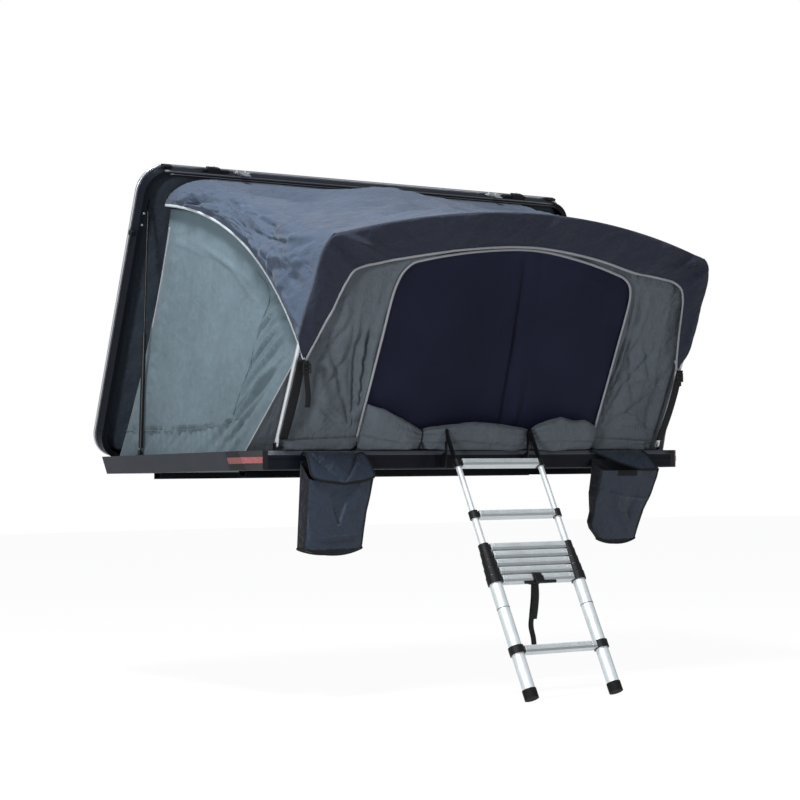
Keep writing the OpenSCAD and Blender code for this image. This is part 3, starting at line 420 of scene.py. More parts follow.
FLY = cloth("fly_cloth", (0.0400, 0.0580, 0.0920), sheen=0.10, rumple=0.40)
VISOR = cloth("visor_cloth", (0.0110, 0.0142, 0.0265), gloss=0.20, rumple=0.5)
# The side walls' cloth, with painted shade that makes it darker towards the bottom.
WALL = cloth("wall_cloth", (0.075, 0.107, 0.127), rumple=0.14, patch=0.26, painted_shade_by_height=0.36)
SEAM = cloth("wall_seam", (0.078, 0.108, 0.120), rumple=0.2)
# The front cloth is darker than the side walls' cloth: partly its own colour, partly painted shade on the front
# wall, door roll and skirt.
FRONT_CLOTH_WITH_SHADE = cloth("front_cloth", (0.064, 0.077, 0.091), rumple=0.45)
GUSSET = cloth("gusset_cloth", (0.040, 0.049, 0.058), rumple=0.35)
BAG = cloth("bag_cloth", (0.0092, 0.0160, 0.0295), rough=0.50, gloss=0.28, rumple=0.4)
# Darker cloth for the bags' sides, back and foot: painted shade, and on the foot partly its own dark mesh.
BAG_SHADE_AND_MESH = cloth("bag_side_shade_and_mesh_cloth", (0.0042, 0.0052, 0.0085), rough=0.6, gloss=0.15, rumple=0.5)
BINDING = webbing("black_binding", (0.0030, 0.0034, 0.0044))
TAPE = webbing("black_webbing", (0.0032, 0.0033, 0.0042))
PIPING_WHITE = cloth("white_piping", (0.40, 0.44, 0.47), rough=0.45, rumple=0.15)
PIPING_GREY = cloth("grey_piping", (0.20, 0.205, 0.225), rough=0.5, rumple=0.15)
MESH = net("door_mesh", (0.0084, 0.0097, 0.0245))
QUILT = cloth("headliner_cloth", (0.030, 0.039, 0.053), gloss=0.15, rumple=0.3)
FOAM = cloth("mattress_cover", (0.060, 0.064, 0.068), rumple=0.3)
BLACK_COAT = coat("black_powder_coat", (0.0030, 0.0043, 0.0078), rough=0.5, gloss=0.09)
GREY_COAT = coat("grey_powder_coat", (0.0125, 0.0160, 0.0250), rough=0.5, gloss=0.25)
# A lighter coat for the front beam's bevel: a painted highlight where the bevel faces up into the light.
BEAM_HIGHLIGHT = coat("beam_painted_highlight", (0.030, 0.034, 0.045), rough=0.45, gloss=0.4)
EDGE = metal("lid_edge_aluminium", (0.42, 0.44, 0.47), rough=0.34)
RIDGE = metal("lid_bar_aluminium", (0.080, 0.084, 0.096), rough=0.42, share=0.6)
ALUMINIUM = metal("ladder_aluminium", (0.60, 0.645, 0.665), rough=0.48, along=(1, 0.06, 0.06), share=0.62)
# Darker metal for the rungs' lower faces: painted shade, where those faces turn down away from the light.
RUNG_SHADE_METAL = metal("rung_shade_aluminium", (0.23, 0.24, 0.25), rough=0.45, along=(0.06, 1, 1), share=0.6)
POLE = metal("pole_aluminium", (0.52, 0.54, 0.57), rough=0.44, along=(1, 0.06, 0.06), share=0.7)
STEEL = metal("zinc_steel", (0.66, 0.67, 0.69), rough=0.3)
HINGE_STEEL = metal("hinge_steel", (0.085, 0.088, 0.094), rough=0.45, along=(0.06, 1, 1), share=0.6)
PLASTIC = coat("black_plastic", (0.0034, 0.0037, 0.0048), rough=0.5, gloss=0.22, depth=0.0007)
RUBBER = coat("black_rubber", (0.0034, 0.0034, 0.0040), rough=0.7, gloss=0.15, depth=0.001)
STRUT = coat("strut_black", (0.0034, 0.0036, 0.0046), rough=0.32, gloss=0.25, depth=0.0002)
FLOOR_BOARD = coat("floor_board", (0.020, 0.021, 0.023), rough=0.6)
RED = reflector("red_reflector", (0.105, 0.0045, 0.0060))

SLOT_LOOKS = {
    "black_aluminium": BLACK_COAT,
    "grey_panel": GREY_COAT,
    "lid_aluminium": EDGE,
    "bare_aluminium": ALUMINIUM,
    "black_plastic": PLASTIC,
    "red_reflector": RED,
    "black_rubber": RUBBER,
    "zinc_steel": STEEL,
    "floor_board": FLOOR_BOARD,
    "strut_black": STRUT,
}
NODE_LOOKS = {
    **dict.fromkeys(("left_bow_leg", "right_bow_leg", "bow_arch"), POLE),
    **dict.fromkeys(("left_strut_rod", "right_strut_rod"), STRUT),
    **dict.fromkeys(("hinge_base_leaf", "hinge_lid_leaf", "hinge_pin"), HINGE_STEEL),
}


def dress_frame():
    """Gives every CAD node that stays visible its own finish, or that of its material slot."""
    slots = {s["node"]: s["material_slot"] for s in frame["record"]["subparts"]}
    for name, obj in frame["nodes"].items():
        look = NODE_LOOKS.get(name, SLOT_LOOKS.get(slots.get(name)))
        if look is not None:
            obj.data.materials.clear()
            obj.data.materials.append(look)


# Meshes
def link(name, data):
    obj = bpy.data.objects.new(name, data)
    bpy.context.scene.collection.objects.link(obj)
    return obj


def mesh_piece(name, verts, faces, material, smooth=None):
    """A mesh of points and faces; smooth lists each face's shading, and is all smooth if left out."""
    data = bpy.data.meshes.new(name)
    data.from_pydata([tuple(map(float, v)) for v in verts], [], faces)
    data.materials.append(material)
    data.update()
    data.polygons.foreach_set("use_smooth", smooth or [True] * len(faces))
    return link(name, data)


def grid_faces(rows, cols, round_rows=False, round_cols=False):
    r_end = rows if round_rows else rows - 1
    c_end = cols if round_cols else cols - 1
    return [
        (
            i * cols + j, i * cols + (j + 1) % cols,
            (i + 1) % rows * cols + (j + 1) % cols, (i + 1) % rows * cols + j,
        )
        for i in range(r_end)
        for j in range(c_end)
    ]


def thicken(obj, thickness, offset=0):
    solid = obj.modifiers.new("thickness", "SOLIDIFY")
    solid.thickness = thickness
    solid.offset = offset


def sheet_piece(name, grid, material, thickness=CLOTH_T):
    """A sheet of cloth through a grid of points, with a real thickness."""
    obj = mesh_piece(name, grid.reshape(-1, 3), grid_faces(*grid.shape[:2]), material)
    thicken(obj, thickness)
    return obj


def grid_normals(grid):
    return unit(np.cross(np.gradient(grid, axis=1), np.gradient(grid, axis=0)))


def grid_area(grid):
    a = grid[1:, :-1] - grid[:-1, :-1]
    b = grid[:-1, 1:] - grid[:-1, :-1]
    c = grid[1:, 1:] - grid[1:, :-1]
    d = grid[1:, 1:] - grid[:-1, 1:]
    halves = np.linalg.norm(np.cross(a, b), axis=-1) + np.linalg.norm(np.cross(c, d), axis=-1)
    return float(halves.sum() / 2)


def wear(obj, fold):
    """Hands a piece to its fold function, or makes it ride a body."""
    if callable(fold):
        fold(obj)
    else:
        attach(obj, fold)


def cloth_piece(name, grid, material, fold, stands_for=None, thickness=CLOTH_T):
    """A sheet of cloth that may stand for a hidden part; its longest row and column and its area are measured, but
    nothing uses them.
    """
    obj = sheet_piece(name, grid, material, thickness)
    length = np.linalg.norm(np.diff(grid, axis=0), axis=-1).sum(0).max()
    width = np.linalg.norm(np.diff(grid, axis=1), axis=-1).sum(1).max()
    area = min(grid_area(grid), width * length)
    if area < 0.3 * width * length:
        width = area / (0.31 * length)
    if stands_for:
        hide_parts(stands_for)
    wear(obj, fold)


def swept_piece(name, rings, material, closed=False):
    """A mesh through a row of rings, with flat ends unless the row closes on itself."""
    n, sides = rings.shape[:2]
    faces = grid_faces(n, sides, closed, True)
    if not closed:
        faces += [tuple(reversed(range(sides))), tuple(range((n - 1) * sides, n * sides))]
    return mesh_piece(name, rings.reshape(-1, 3), faces, material)


def tube_piece(name, path, radius, material, sides=8, closed=False):
    """A round tube along a path."""
    p = np.array(path, float)
    run = unit(np.roll(p, -1, axis=0) - np.roll(p, 1, axis=0) if closed else np.gradient(p, axis=0))
    a = angles(sides)[:, None]
    side = np.cross(run[0], [0.31, 0.12, 0.94])
    rings = []
    for point, ahead in zip(p, run):
        side = unit(side - ahead * (side @ ahead))
        rings.append(point + radius * (np.cos(a) * side + np.sin(a) * np.cross(ahead, side)))
    return swept_piece(name, np.array(rings), material, closed)


def band_piece(name, path, hang, width, material):
    """A rounded flat band along a path; hang is the direction of its width, for all points or for each."""
    p = np.array(path)
    hang = unit(np.broadcast_to(hang, p.shape))
    run = unit(np.gradient(p, axis=0))
    down = unit(hang - run * (run * hang).sum(1, keepdims=True))
    a = angles(10)[:, None]
    half_thick = 0.0032
    rings = p[:, None] + down[:, None] * (width / 2 * np.cos(a))
    return swept_piece(name, rings + np.cross(run, down)[:, None] * (half_thick * np.sin(a)), material)


def strap_piece(name, path, across, width, material, thickness=0.002):
    """A flat tape along a path, with its width along a given direction."""
    half = np.array(across, float) * width / 2
    grid = np.array(path, float)[:, None] + half * np.linspace(-1, 1, 5)[:, None]
    return sheet_piece(name, grid, material, thickness)


def bevelled_box(centre, axes, size, material, bevel):
    """A box with rounded edges along three given directions."""
    bm = bmesh.new()
    bmesh.ops.create_cube(bm, size=1)
    turn = Matrix([[float(axes[c][r]) * size[c] for c in range(3)] for r in range(3)]).to_4x4()
    bmesh.ops.transform(bm, matrix=Matrix.Translation(Vector(centre)) @ turn, verts=bm.verts)
    bmesh.ops.recalc_face_normals(bm, faces=bm.faces)
    bmesh.ops.bevel(bm, geom=bm.edges[:], offset=bevel, segments=3, affect="EDGES", profile=0.5)
    data = bpy.data.meshes.new("box")
    bm.to_mesh(data)
    bm.free()
    data.materials.append(material)
    return link("box", data)


def joined(name, pieces):
    """Several meshes of one material as one piece."""
    verts, faces, smooth = [], [], []
    material = pieces[0].data.materials[0]
    dg = bpy.context.evaluated_depsgraph_get()
    dg.update()
    for o in pieces:
        made = o.evaluated_get(dg).to_mesh()
        start = len(verts)
        verts += [o.matrix_world @ v.co for v in made.vertices]
        faces += [tuple(start + i for i in f.vertices) for f in made.polygons]
        smooth += [f.use_smooth for f in made.polygons]
        o.evaluated_get(dg).to_mesh_clear()
    for o in pieces:
        bpy.data.objects.remove(o)
    return mesh_piece(name, verts, faces, material, smooth)


def boxes(name, axes, material, parts):
    """Rounded boxes as one piece, each given by its centre, size and bevel."""
    return joined(name, [bevelled_box(centre, axes, size, material, bevel) for centre, size, bevel in parts])


# How soft pieces ride the frame's bodies
ELBOW_BLEND = 0.02
WALL_BACK = 0.0125


def folding(body, anchor):
    """The piece rides a body, with its own copy of its mesh."""
    def fold(obj):
        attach(obj, body)
        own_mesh(obj)
    return fold


into_lid = folding("lid", on_lid(0, 0, 0.028))
with_fly = folding("lid", on_lid(0, 1.05, 0.012))
onto_leg = folding("bow_legs", by_bow(0, 0, -0.016))
onto_wall = folding("bow_legs", by_bow(0, 0, WALL_BACK))


def at_elbow(obj):
    low, high = (by_bow(0, ELBOW_UP + step, 0) for step in (-ELBOW_BLEND, ELBOW_BLEND))
    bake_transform(obj)


# The fly
SHOULDER_OFF = CLOTH_OFF + 0.006
SHOULDER_FOOT = SHOULDER_UP - 0.07
FLY_EDGE_X = 1.090
FLY_EDGE_DROP = 0.137
FLY_PUSH = 0.118
FLY_LIFT = 0.134
FLY_SAG = 0.022
RIDGE_SHARE = 9 / 16
FLY_TIP_X = 1.016
FLY_DOWN = [
    (SHOULDER_X + CLOTH_OFF / 3, SHOULDER_UP + CLOTH_OFF, 0),
    (SHOULDER_X + 0.7 * SHOULDER_OFF, SHOULDER_UP + 0.7 * SHOULDER_OFF, 0),
    (ARCH_X + SHOULDER_OFF, SHOULDER_FOOT + SHOULDER_OFF / 3, 0),
    (BOW_X, mix(SHOULDER_FOOT, ELBOW_UP, 0.5), 0),
    (BOW_X + CLOTH_OFF, ELBOW_UP, 0),
    (BOW_X + CLOTH_OFF, FLY_SIDE + 0.072, -0.006),
    (FLY_TIP_X, FLY_SIDE - 0.008, -0.017),
]
FLY_HALF_COLS = 128
FLY_RIDGE_COLS = int(FLY_HALF_COLS * RIDGE_SHARE)
FLY_ROWS = 140
FLY_LENGTH = 1.35
FLAP_DEPTH = 0.62
# Two hollows and a hump of the roof: height, place and width across, place and width as shares of the length
FLY_DENTS = (
    (-0.060, -0.56, 0.22, 0.17, 0.17),
    (-0.035, 0.62, 0.22, 0.17, 0.17),
    (0.036, -0.08, 0.30, 0.24, 0.20),
)
# Creases of a flap, from and to: distance below the ridge, and from the lid
FLAP_CREASES = (
    ((0.02, 1.30), (0.30, 0.75)), ((0.05, 1.30), (0.45, 0.95)), ((0.02, 1.28), (0.12, 0.55)),
    ((0.10, 1.25), (0.55, 1.10)), ((0.30, 0.55), (0.50, 0.90)), ((0.22, 0.25), (0.40, 0.75)),
)


def bow_edge_half():
    """The fly's front edge from the middle over a shoulder and down to its tip, as (x, up, back)."""
    x = np.linspace(0, SHOULDER_X, FLY_RIDGE_COLS + 1)[:-1]
    top = np.stack([x, arch_up(x) + CLOTH_OFF, 0 * x], -1)
    return np.vstack([top, smooth_path(FLY_DOWN, FLY_HALF_COLS - FLY_RIDGE_COLS + 1)])


def fly_grid():
    """The fly from the keder rail to the bow, as a grid of points without wrinkles."""
    column = np.arange(-FLY_HALF_COLS, FLY_HALF_COLS + 1)
    side = np.where(column < 0, -1, 1)
    k = np.abs(column)
    x, up, back = bow_edge_half()[k].T
    s = np.maximum(0, (k - FLY_RIDGE_COLS) / (FLY_HALF_COLS - FLY_RIDGE_COLS))
    sweep = s * math.pi / 2
    lid_x = KEDER_HALF * np.minimum(1, k / FLY_RIDGE_COLS) + (FLY_EDGE_X - KEDER_HALF) * np.sin(sweep)
    lid_edge = on_lid(side * lid_x, KEDER_ALONG - FLY_EDGE_DROP * (1 - np.cos(sweep)), mix(-0.0008, 0.012, s))
    b = ease(s)
    lift = np.stack([0 * b, -FLY_PUSH * b, FLY_LIFT * b - FLY_SAG * (1 - b)], -1)
    v = np.linspace(0, 1, FLY_ROWS + 1)[:, None, None]
    return mix(lid_edge, by_bow(side * x, up, back), v) + hump(v) * lift


def fly_wrinkles(grid):
    """Folds of the fly: a sharp ridge, waves and dents on the roof, crumpled flaps, shoulder pulls."""
    v, t = shares(*grid.shape[:2])
    t = np.abs(2 * t - 1)
    x = grid[..., 0]
    run = FLY_LENGTH * v
    from_ridge = t - RIDGE_SHARE
    roof = 0.013 * folds(x + 0.25 * run, run, 0.55, 0.9, 2.0)
    roof = roof + 0.0135 * crumple(x + 0.3 * run, run, 0.20, 4.0)
    for high, at_x, wide, at_v, long in FLY_DENTS:
        roof = roof + high * bell((x - at_x) / wide) * bell((v - at_v) / long)
    down = from_ridge / (1 - RIDGE_SHARE) * FLAP_DEPTH
    below_knee = 0.815 * (down - 0.17) + 0.580 * (run - 1.28)
    side = 0.030 * np.exp(-np.abs(below_knee) / 0.11) + 0.008 * folds(down, run, 0.22, 0.5, 11.0)
    side = side + 0.024 * crumple(down + 0.3 * run, run, 0.14, 14.0)
    side = side + 0.007 * folds(run + 0.5 * down, down, 0.075, 0.5, 16.0, 2) * ease(below_knee / 0.05)
    side = side + creases(down, run, FLAP_CREASES, 0.018, 0.013)
    held = np.minimum(1, hump(v) * 2.2) * ease((1 - t) / 0.05)
    crest = 0.015 * np.exp(-np.abs(from_ridge) / 0.03) * np.maximum(hump(v), 0) ** 0.6
    amount = mix(roof, side, ease(from_ridge / 0.08)) * held + crest
    normals = grid_normals(grid)
    return grid + normals * amount[..., None] * np.sign(normals[..., 2:3] + 1e-6)


def make_fly():
    grid = fly_wrinkles(fly_grid())
    cloth_piece("fly_sheet", grid, FLY, with_fly, "fly")
    for name, _, column in SIDES:
        edge = smooth_path(grid[::7, column], 90)
        piping = band_piece(f"fly_piping_{name}", edge, (0, -0.35, -0.94), 0.013, PIPING_WHITE)
        wear(piping, with_fly)
    return grid


# The visor, with its inner edge as (x, up)
VISOR_INNER = [
    (-1.008, 0.386), (-0.962, 0.520), (-0.925, 0.640), (-0.897, 0.745), (-0.879, 0.785), (-0.852, 0.800),
    (-0.790, 0.816), (-0.657, 0.850), (-0.330, 0.908), (0.000, 0.934), (0.330, 0.904), (0.600, 0.850),
    (0.790, 0.825), (0.868, 0.806), (0.905, 0.770), (0.932, 0.690), (0.968, 0.550), (1.008, 0.386),
]
VISOR_HALF_COLS = 110
VISOR_ROWS = 26
VISOR_WRAP = 0.10
VISOR_FRONT = 0.0135
VISOR_HALF_RUN = 1.45
VISOR_DROP = 0.16
# Creases across the visor at its shoulders: place along it at the outer edge and at the inner one
VISOR_CREASES = ((-0.95, -0.72), (-0.93, -0.80), (-0.97, -0.99), (0.95, 0.74), (0.97, 0.99), (0.92, 0.82))


def make_visor():
    right = smooth_path(bow_edge_half()[::4], VISOR_HALF_COLS + 1)
    outer = np.vstack([right[:0:-1] * (-1, 1, 1), right])
    inner = smooth_path(VISOR_INNER, len(outer))
    w, a = shares(VISOR_ROWS + 1, len(outer))
    a = 2 * a - 1
    plane = mix(outer[:, :2], inner, np.clip((w - VISOR_WRAP) / (1 - VISOR_WRAP), 0, 1)[..., None])
    front = np.minimum(outer[:, 2], -VISOR_FRONT * np.sin(np.minimum(1, w / VISOR_WRAP) * math.pi / 2))
    run = VISOR_HALF_RUN * a
    drop = VISOR_DROP * w
    ripple = 0.010 * folds(run, drop, 0.22, 0.5, 21.0) + 0.016 * crumple(run + 0.4 * drop, drop, 0.12, 23.0)
    ripple = ripple + creases(run, drop, [((x0, 0.0), (x1, 0.15)) for x0, x1 in VISOR_CREASES], 0.014, 0.014)
    for _, side, _ in SIDES:
        ripple = ripple + crease(run * side, drop, (0.905, -0.01), (0.835, 0.11), 0.010, 0.024)
        ripple = ripple - crease(run * side, drop, (0.955, 0.0), (0.925, 0.16), 0.022, 0.016)
    held = ease(w / 0.12) * ease((1 - np.abs(a)) / 0.10)
    amount = (0.010 * hump(w) + ripple * np.minimum(1, w * 4) * (1 - 0.5 * w)) * held
    grid = by_bow(plane[..., 0], plane[..., 1], front - np.maximum(amount, -0.001))
    cloth_piece("visor_sheet", grid, VISOR, at_elbow, "visor")
    edge = smooth_path(grid[-1][::5], 200) - BOW_BACK * 0.002
    wear(band_piece("visor_piping", edge, -BOW_UP, 0.011, PIPING_GREY), at_elbow)


# The front wall, its door and the door's roll; the door's edge as (x, up)
WALL_EDGE_X = 1.020
WALL_FOOT = 0.012
DOOR = [
    (-0.645, 0.030), (-0.643, 0.250), (-0.640, 0.500), (-0.636, 0.700), (-0.618, 0.775), (-0.585, 0.818),
    (-0.520, 0.842), (-0.267, 0.892), (0.030, 0.914), (0.300, 0.880), (0.520, 0.828), (0.592, 0.800),
    (0.625, 0.756), (0.638, 0.690), (0.642, 0.500), (0.644, 0.250), (0.645, 0.030),
]
DOOR_MIDDLE = 0.45
FRONT_COLS = 240
FRONT_ROWS = 40
BESIDE_DOOR = 0.6
# Creases beside the door, from and to, as (distance from the middle, up)
FRONT_CREASES = (
    ((0.66, 0.03), (0.94, 0.22)), ((0.66, 0.05), (0.90, 0.50)), ((0.67, 0.08), (0.80, 0.62)),
    ((0.68, 0.02), (1.00, 0.10)), ((0.66, 0.16), (0.72, 0.68)), ((0.74, 0.45), (0.86, 0.20)),
    ((0.78, 0.60), (0.90, 0.34)), ((0.70, 0.03), (0.98, 0.05)),
)
# Pleats that run up beside the door: distance from it, width and depth
PLEATS = (
    (0.018, 0.010, -0.032), (0.042, 0.009, 0.032), (0.066, 0.010, -0.030), (0.098, 0.012, 0.030),
    (0.130, 0.014, -0.020),
)
# Depth that the folds may have below the bow's elbow, and above it
FOLD_ROOM = (0.080, 0.014)


def wall_outer_path(n):
    """Outer edge of the front wall: up beside a leg, under the arch and down again."""
    reach = SHOULDER_X - 0.03
    top = [(x, arch_up(x) - TUBE_R - 0.004) for x in np.linspace(-reach, reach, 15)]
    points = [(-WALL_EDGE_X, up) for up in (WALL_FOOT, 0.3, 0.6)]
    points.append((-WALL_EDGE_X + 0.012, SHOULDER_UP - 0.075))
    return smooth_path(points + top + [(-x, up) for x, up in reversed(points)], n)


def make_front_wall():
    inner = smooth_path(DOOR, FRONT_COLS + 1)
    t, a = shares(FRONT_ROWS + 1, FRONT_COLS + 1)
    plane = mix(inner, wall_outer_path(FRONT_COLS + 1), t[..., None])
    x, up = plane[..., 0], plane[..., 1]
    side = np.abs(x)
    beside = side > BESIDE_DOOR
    door_x = np.interp(up, [p[1] for p in DOOR[:5]], [-p[0] for p in DOOR[:5]])
    from_door = (side - door_x) / (0.22 + 0.78 * ease(up / 0.6))
    amount = np.where(x < 0, 0.022, 0.020) * folds(x + 0.12 * up, up, 0.11, 0.55, 31.0)
    amount = amount + creases(x, up, FRONT_CREASES, 0.013, 0.022) * beside
    amount = amount + creases(-x, up, FRONT_CREASES, 0.013, 0.022) * beside
    amount = amount + 0.018 * crumple(x, 0.6 * up, 0.11, 35.0)
    for at, wide, deep in PLEATS:
        wander = at + 0.010 * folds(up, at * 9, 0.25, 1.0, 36.0, 2)
        amount = amount + deep * bell((from_door - wander) / wide) * ease((0.80 - up) / 0.2) * beside
    amount = amount + 0.018 * ease((0.16 - up) / 0.14) * folds(x, up, 0.5, 0.055, 38.0, 2)
    held = np.minimum(1, hump(t) * 2.6) * ease(np.minimum(a, 1 - a) * FRONT_COLS / 10)
    depth = np.maximum((amount + 0.022 * ease((side - BESIDE_DOOR) / 0.2)) * held, -0.006)
    room = mix(*FOLD_ROOM, ease((up - ELBOW_UP + 0.14) / 0.12))
    depth = np.where(depth > 0, room * np.tanh(depth / room), depth)
    grid = by_bow(x, up, WALL_BACK + 0.004 + depth)
    cloth_piece(
        "front_wall_sheet", grid, FRONT_CLOTH_WITH_SHADE, at_elbow, "front_wall",
    )
    edge = smooth_path(grid[0][::5], 200) - BOW_BACK * 0.006
    inwards = by_bow(0, DOOR_MIDDLE, WALL_BACK) - edge
    wear(band_piece("door_piping", edge, inwards, 0.012, PIPING_GREY), at_elbow)
    return inner


def make_mesh_door(outline):
    """The door's insect mesh, with slack hanging folds."""
    rows, cols = 80, 120
    half = len(outline) // 2
    left = smooth_path(outline[:half + 1][::4], rows + 1)
    right = smooth_path(outline[half:][::-1][::4], rows + 1)
    t, u = shares(rows + 1, cols + 1)
    plane = mix(left[:, None], right[:, None], u[..., None])
    x, up = plane[..., 0], plane[..., 1]
    held = np.minimum(1, hump(u) * 3) * ease((1 - t) * rows / 8)
    slack = 0.012 * folds(x, up, 0.30, 0.9, 41.0) + 0.007 * crumple(x + 0.2 * up, 0.5 * up, 0.20, 43.0)
    slack = slack - crease(x, up, (0.180, 0.06), (0.068, 0.86), 0.018, 0.030)
    slack = slack + crease(x, up, (0.125, 0.06), (0.010, 0.86), 0.016, 0.026)
    grid = by_bow(x, up, WALL_BACK + 0.006 + np.clip(slack * held, -0.006, 0.026))
    cloth_piece(
        "mesh_door_sheet", grid, MESH, at_elbow, "mesh_door",
        0.0008,
    )


ROLL_HALF = 0.640
ROLL_FOOT = -0.012
ROLL_FRONT = WALL_BACK - 0.003
TIES = (-0.339, 0.255)
# Upper edge of the roll as (x, up)
ROLL_TOP = [
    (-0.640, 0.190), (-0.570, 0.176), (-0.444, 0.125), (-0.373, 0.092), (-0.339, 0.076), (-0.305, 0.090),
    (-0.237, 0.102), (-0.119, 0.120), (-0.049, 0.121), (0.112, 0.108), (0.205, 0.092), (0.255, 0.076),
    (0.285, 0.106), (0.335, 0.128), (0.401, 0.146), (0.483, 0.130), (0.549, 0.135), (0.607, 0.107),
    (0.640, 0.085),
]


def roll_section(x):
    """Top and depth of the rolled door at places across it."""
    tied = sum(bell((x - tie) / 0.055) for tie in TIES)
    end = np.maximum(0.10, 1 - (np.abs(x) / ROLL_HALF) ** 20) ** 0.5
    return np.interp(x, *zip(*ROLL_TOP)), 0.066 * (1 - 0.40 * tied) * end


def make_door_roll():
    """The door panel rolled down and tied, with pleats that run into the ties and a fold along its foot."""
    rings, sides = 300, 72
    x = np.linspace(-ROLL_HALF, ROLL_HALF, 65)
    x, top, depth = smooth_path(np.stack([x, *roll_section(x)], -1), rings + 1).T[..., None]
    a = angles(sides)
    near = np.exp(-np.min([np.abs(x - tie) for tie in TIES], axis=0) / 0.075)
    pleats = 0.34 * near * (np.abs(np.sin(5.5 * a + 0.8 * np.sin(2 * a))) - 0.62)
    flat_x, flat_a = np.broadcast_arrays(x, 0.075 * a)
    drape = 0.22 * crumple(flat_x + 0.5 * flat_a, flat_a, 0.12, 65.0)
    drape = drape + 0.12 * folds(flat_x, flat_a, 0.16, 0.20, 66.0, 2)
    tuck = -0.34 * bell((np.sin(a) + 0.42 + 0.10 * np.sin(9 * x)) / 0.11) * (1 - 0.6 * near)
    r = 1 + (pleats + drape * (1 - near) + tuck) * (0.25 + 0.75 * np.maximum(0, -np.cos(a)))
    up = np.maximum((top + ROLL_FOOT) / 2 + (top - ROLL_FOOT) / 2 * r * np.sin(a), ROLL_FOOT - 0.002)
    roll = swept_piece("door_roll_cloth", by_bow(x, up, ROLL_FRONT - depth / 2 * (1 - r * np.cos(a))), FRONT_CLOTH_WITH_SHADE)
    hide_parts("door_roll")
    wear(roll, onto_wall)
    cords = []
    a = angles(24)
    for tie in TIES:
        top, depth = roll_section(tie)
        mid = (top + ROLL_FOOT) / 2
        up = mid + (top - ROLL_FOOT) / 2 * 1.10 * np.sin(a)
        loop = by_bow(tie, up, ROLL_FRONT - depth / 2 * (1 - 1.12 * np.cos(a)))
        cords.append(tube_piece("tie", loop, 0.0035, TAPE, closed=True))
        for lean in (-0.018, 0.020):
            start = by_bow(tie, mid, ROLL_FRONT - depth * 1.06)
            end = by_bow(tie + lean, mid - 0.040, ROLL_FRONT - 0.003 - depth * 1.06)
            path = smooth_path([start, (start + end) / 2 - BOW_BACK * 0.004, end], 10)
            cords.append(tube_piece("tie", path, 0.003, TAPE))
    wear(joined("door_roll_ties", cords), onto_wall)


def make_front_skirt():
    """The foot of the front wall: beside the door it rests on the front beam and tucks in behind it."""
    rows, cols = 24, 240
    across = np.linspace(-WALL_EDGE_X, WALL_EDGE_X, cols + 1)
    head_up = np.interp(np.abs(across), [DOOR[-1][0], WALL_EDGE_X], [DOOR[0][1], WALL_FOOT])
    grid = np.zeros((rows + 1, cols + 1, 3))
    for j, (x, up) in enumerate(zip(across, head_up)):
        head = by_bow(x, up, WALL_BACK + 0.004)
        low = by_bow(x, up - 0.020, WALL_BACK + 0.005)
        on_beam = [(x, y, TRAY_TOP + z) for y, z in ((-0.646, 0.024), (-0.645, 0.006), (-0.630, 0.003))]
        foot = [(x, -0.6165, TRAY_TOP + 0.003), (x, -0.6120, TRAY_TOP - 0.018)]
        straight = smooth_path([head, low, *foot], rows + 1)
        resting = smooth_path([head, *on_beam, *foot], rows + 1)
        grid[:, j] = mix(straight, resting, ease((abs(x) - 0.62) / 0.06) * ease((0.995 - abs(x)) / 0.03))
    t = shares(rows + 1, cols + 1)[0]
    wave = 0.006 * folds(across + 0.4 * t, t, 0.12, 0.6, 47.0)
    wave = wave + 0.004 * sharp_folds(across, t, 0.3, 0.35, 48.0)
    grid[..., 1] += np.maximum(wave * hump(t), -0.003)

    def at_beam(obj):
        by_bow(0, WALL_FOOT, WALL_BACK)
        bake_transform(obj)

    cloth_piece("front_wall_skirt", grid, FRONT_CLOTH_WITH_SHADE, at_beam)


# The side walls
WALL_X = END_X - 0.0515
WALL_ROWS = 110
WALL_COLS = 130
# Front and lower edge of the window cover, as (y, height over the tray)
COVER_FRONT = [(-0.480, 0.760), (-0.560, 0.675), (-0.530, 0.540), (-0.470, 0.330), (-0.410, 0.160)]
COVER_FOOT = [(-0.500, 0.152), (-0.360, 0.124), (-0.140, 0.108), (0.200, 0.108), (0.540, 0.118)]
# Creases of the cover, from and to, in the same coordinates
WALL_CREASES = (
    ((0.20, 0.97), (-0.10, 0.86)), ((0.10, 0.97), (-0.35, 0.78)), ((-0.05, 0.92), (-0.48, 0.70)),
    ((0.36, 0.90), (0.30, 0.60)), ((0.40, 0.80), (0.37, 0.40)), ((-0.20, 0.86), (-0.50, 0.62)),
)


def side_wall_grid(edge):
    """A right side wall from the tray to the fly's side edge, as a grid without folds."""
    v = np.linspace(0, 1, WALL_COLS + 1)
    head = np.stack([np.interp(v, np.linspace(0, 1, len(edge)), column) for column in edge.T], -1)
    tip = ease((v - 0.85) / 0.15)
    head[:, 0] = mix(np.abs(head[:, 0]), BOW_X + CLOTH_OFF, tip) - 0.030 - 0.007 * hump(v)
    head[:, 2] += 0.030 * (v - 0.5)
    head += tip[:, None] * 0.024 * BOW_BACK
    foot = np.stack(np.broadcast_arrays(WALL_X, mix(0.610, -0.560, v), TRAY_TOP - 0.018), -1)
    u = np.linspace(0, 1, WALL_ROWS + 1)[:, None]
    grid = mix(foot, head, u[..., None])
    grid[..., 1] -= 0.055 * hump(u) * (1 - v) ** 2
    return grid


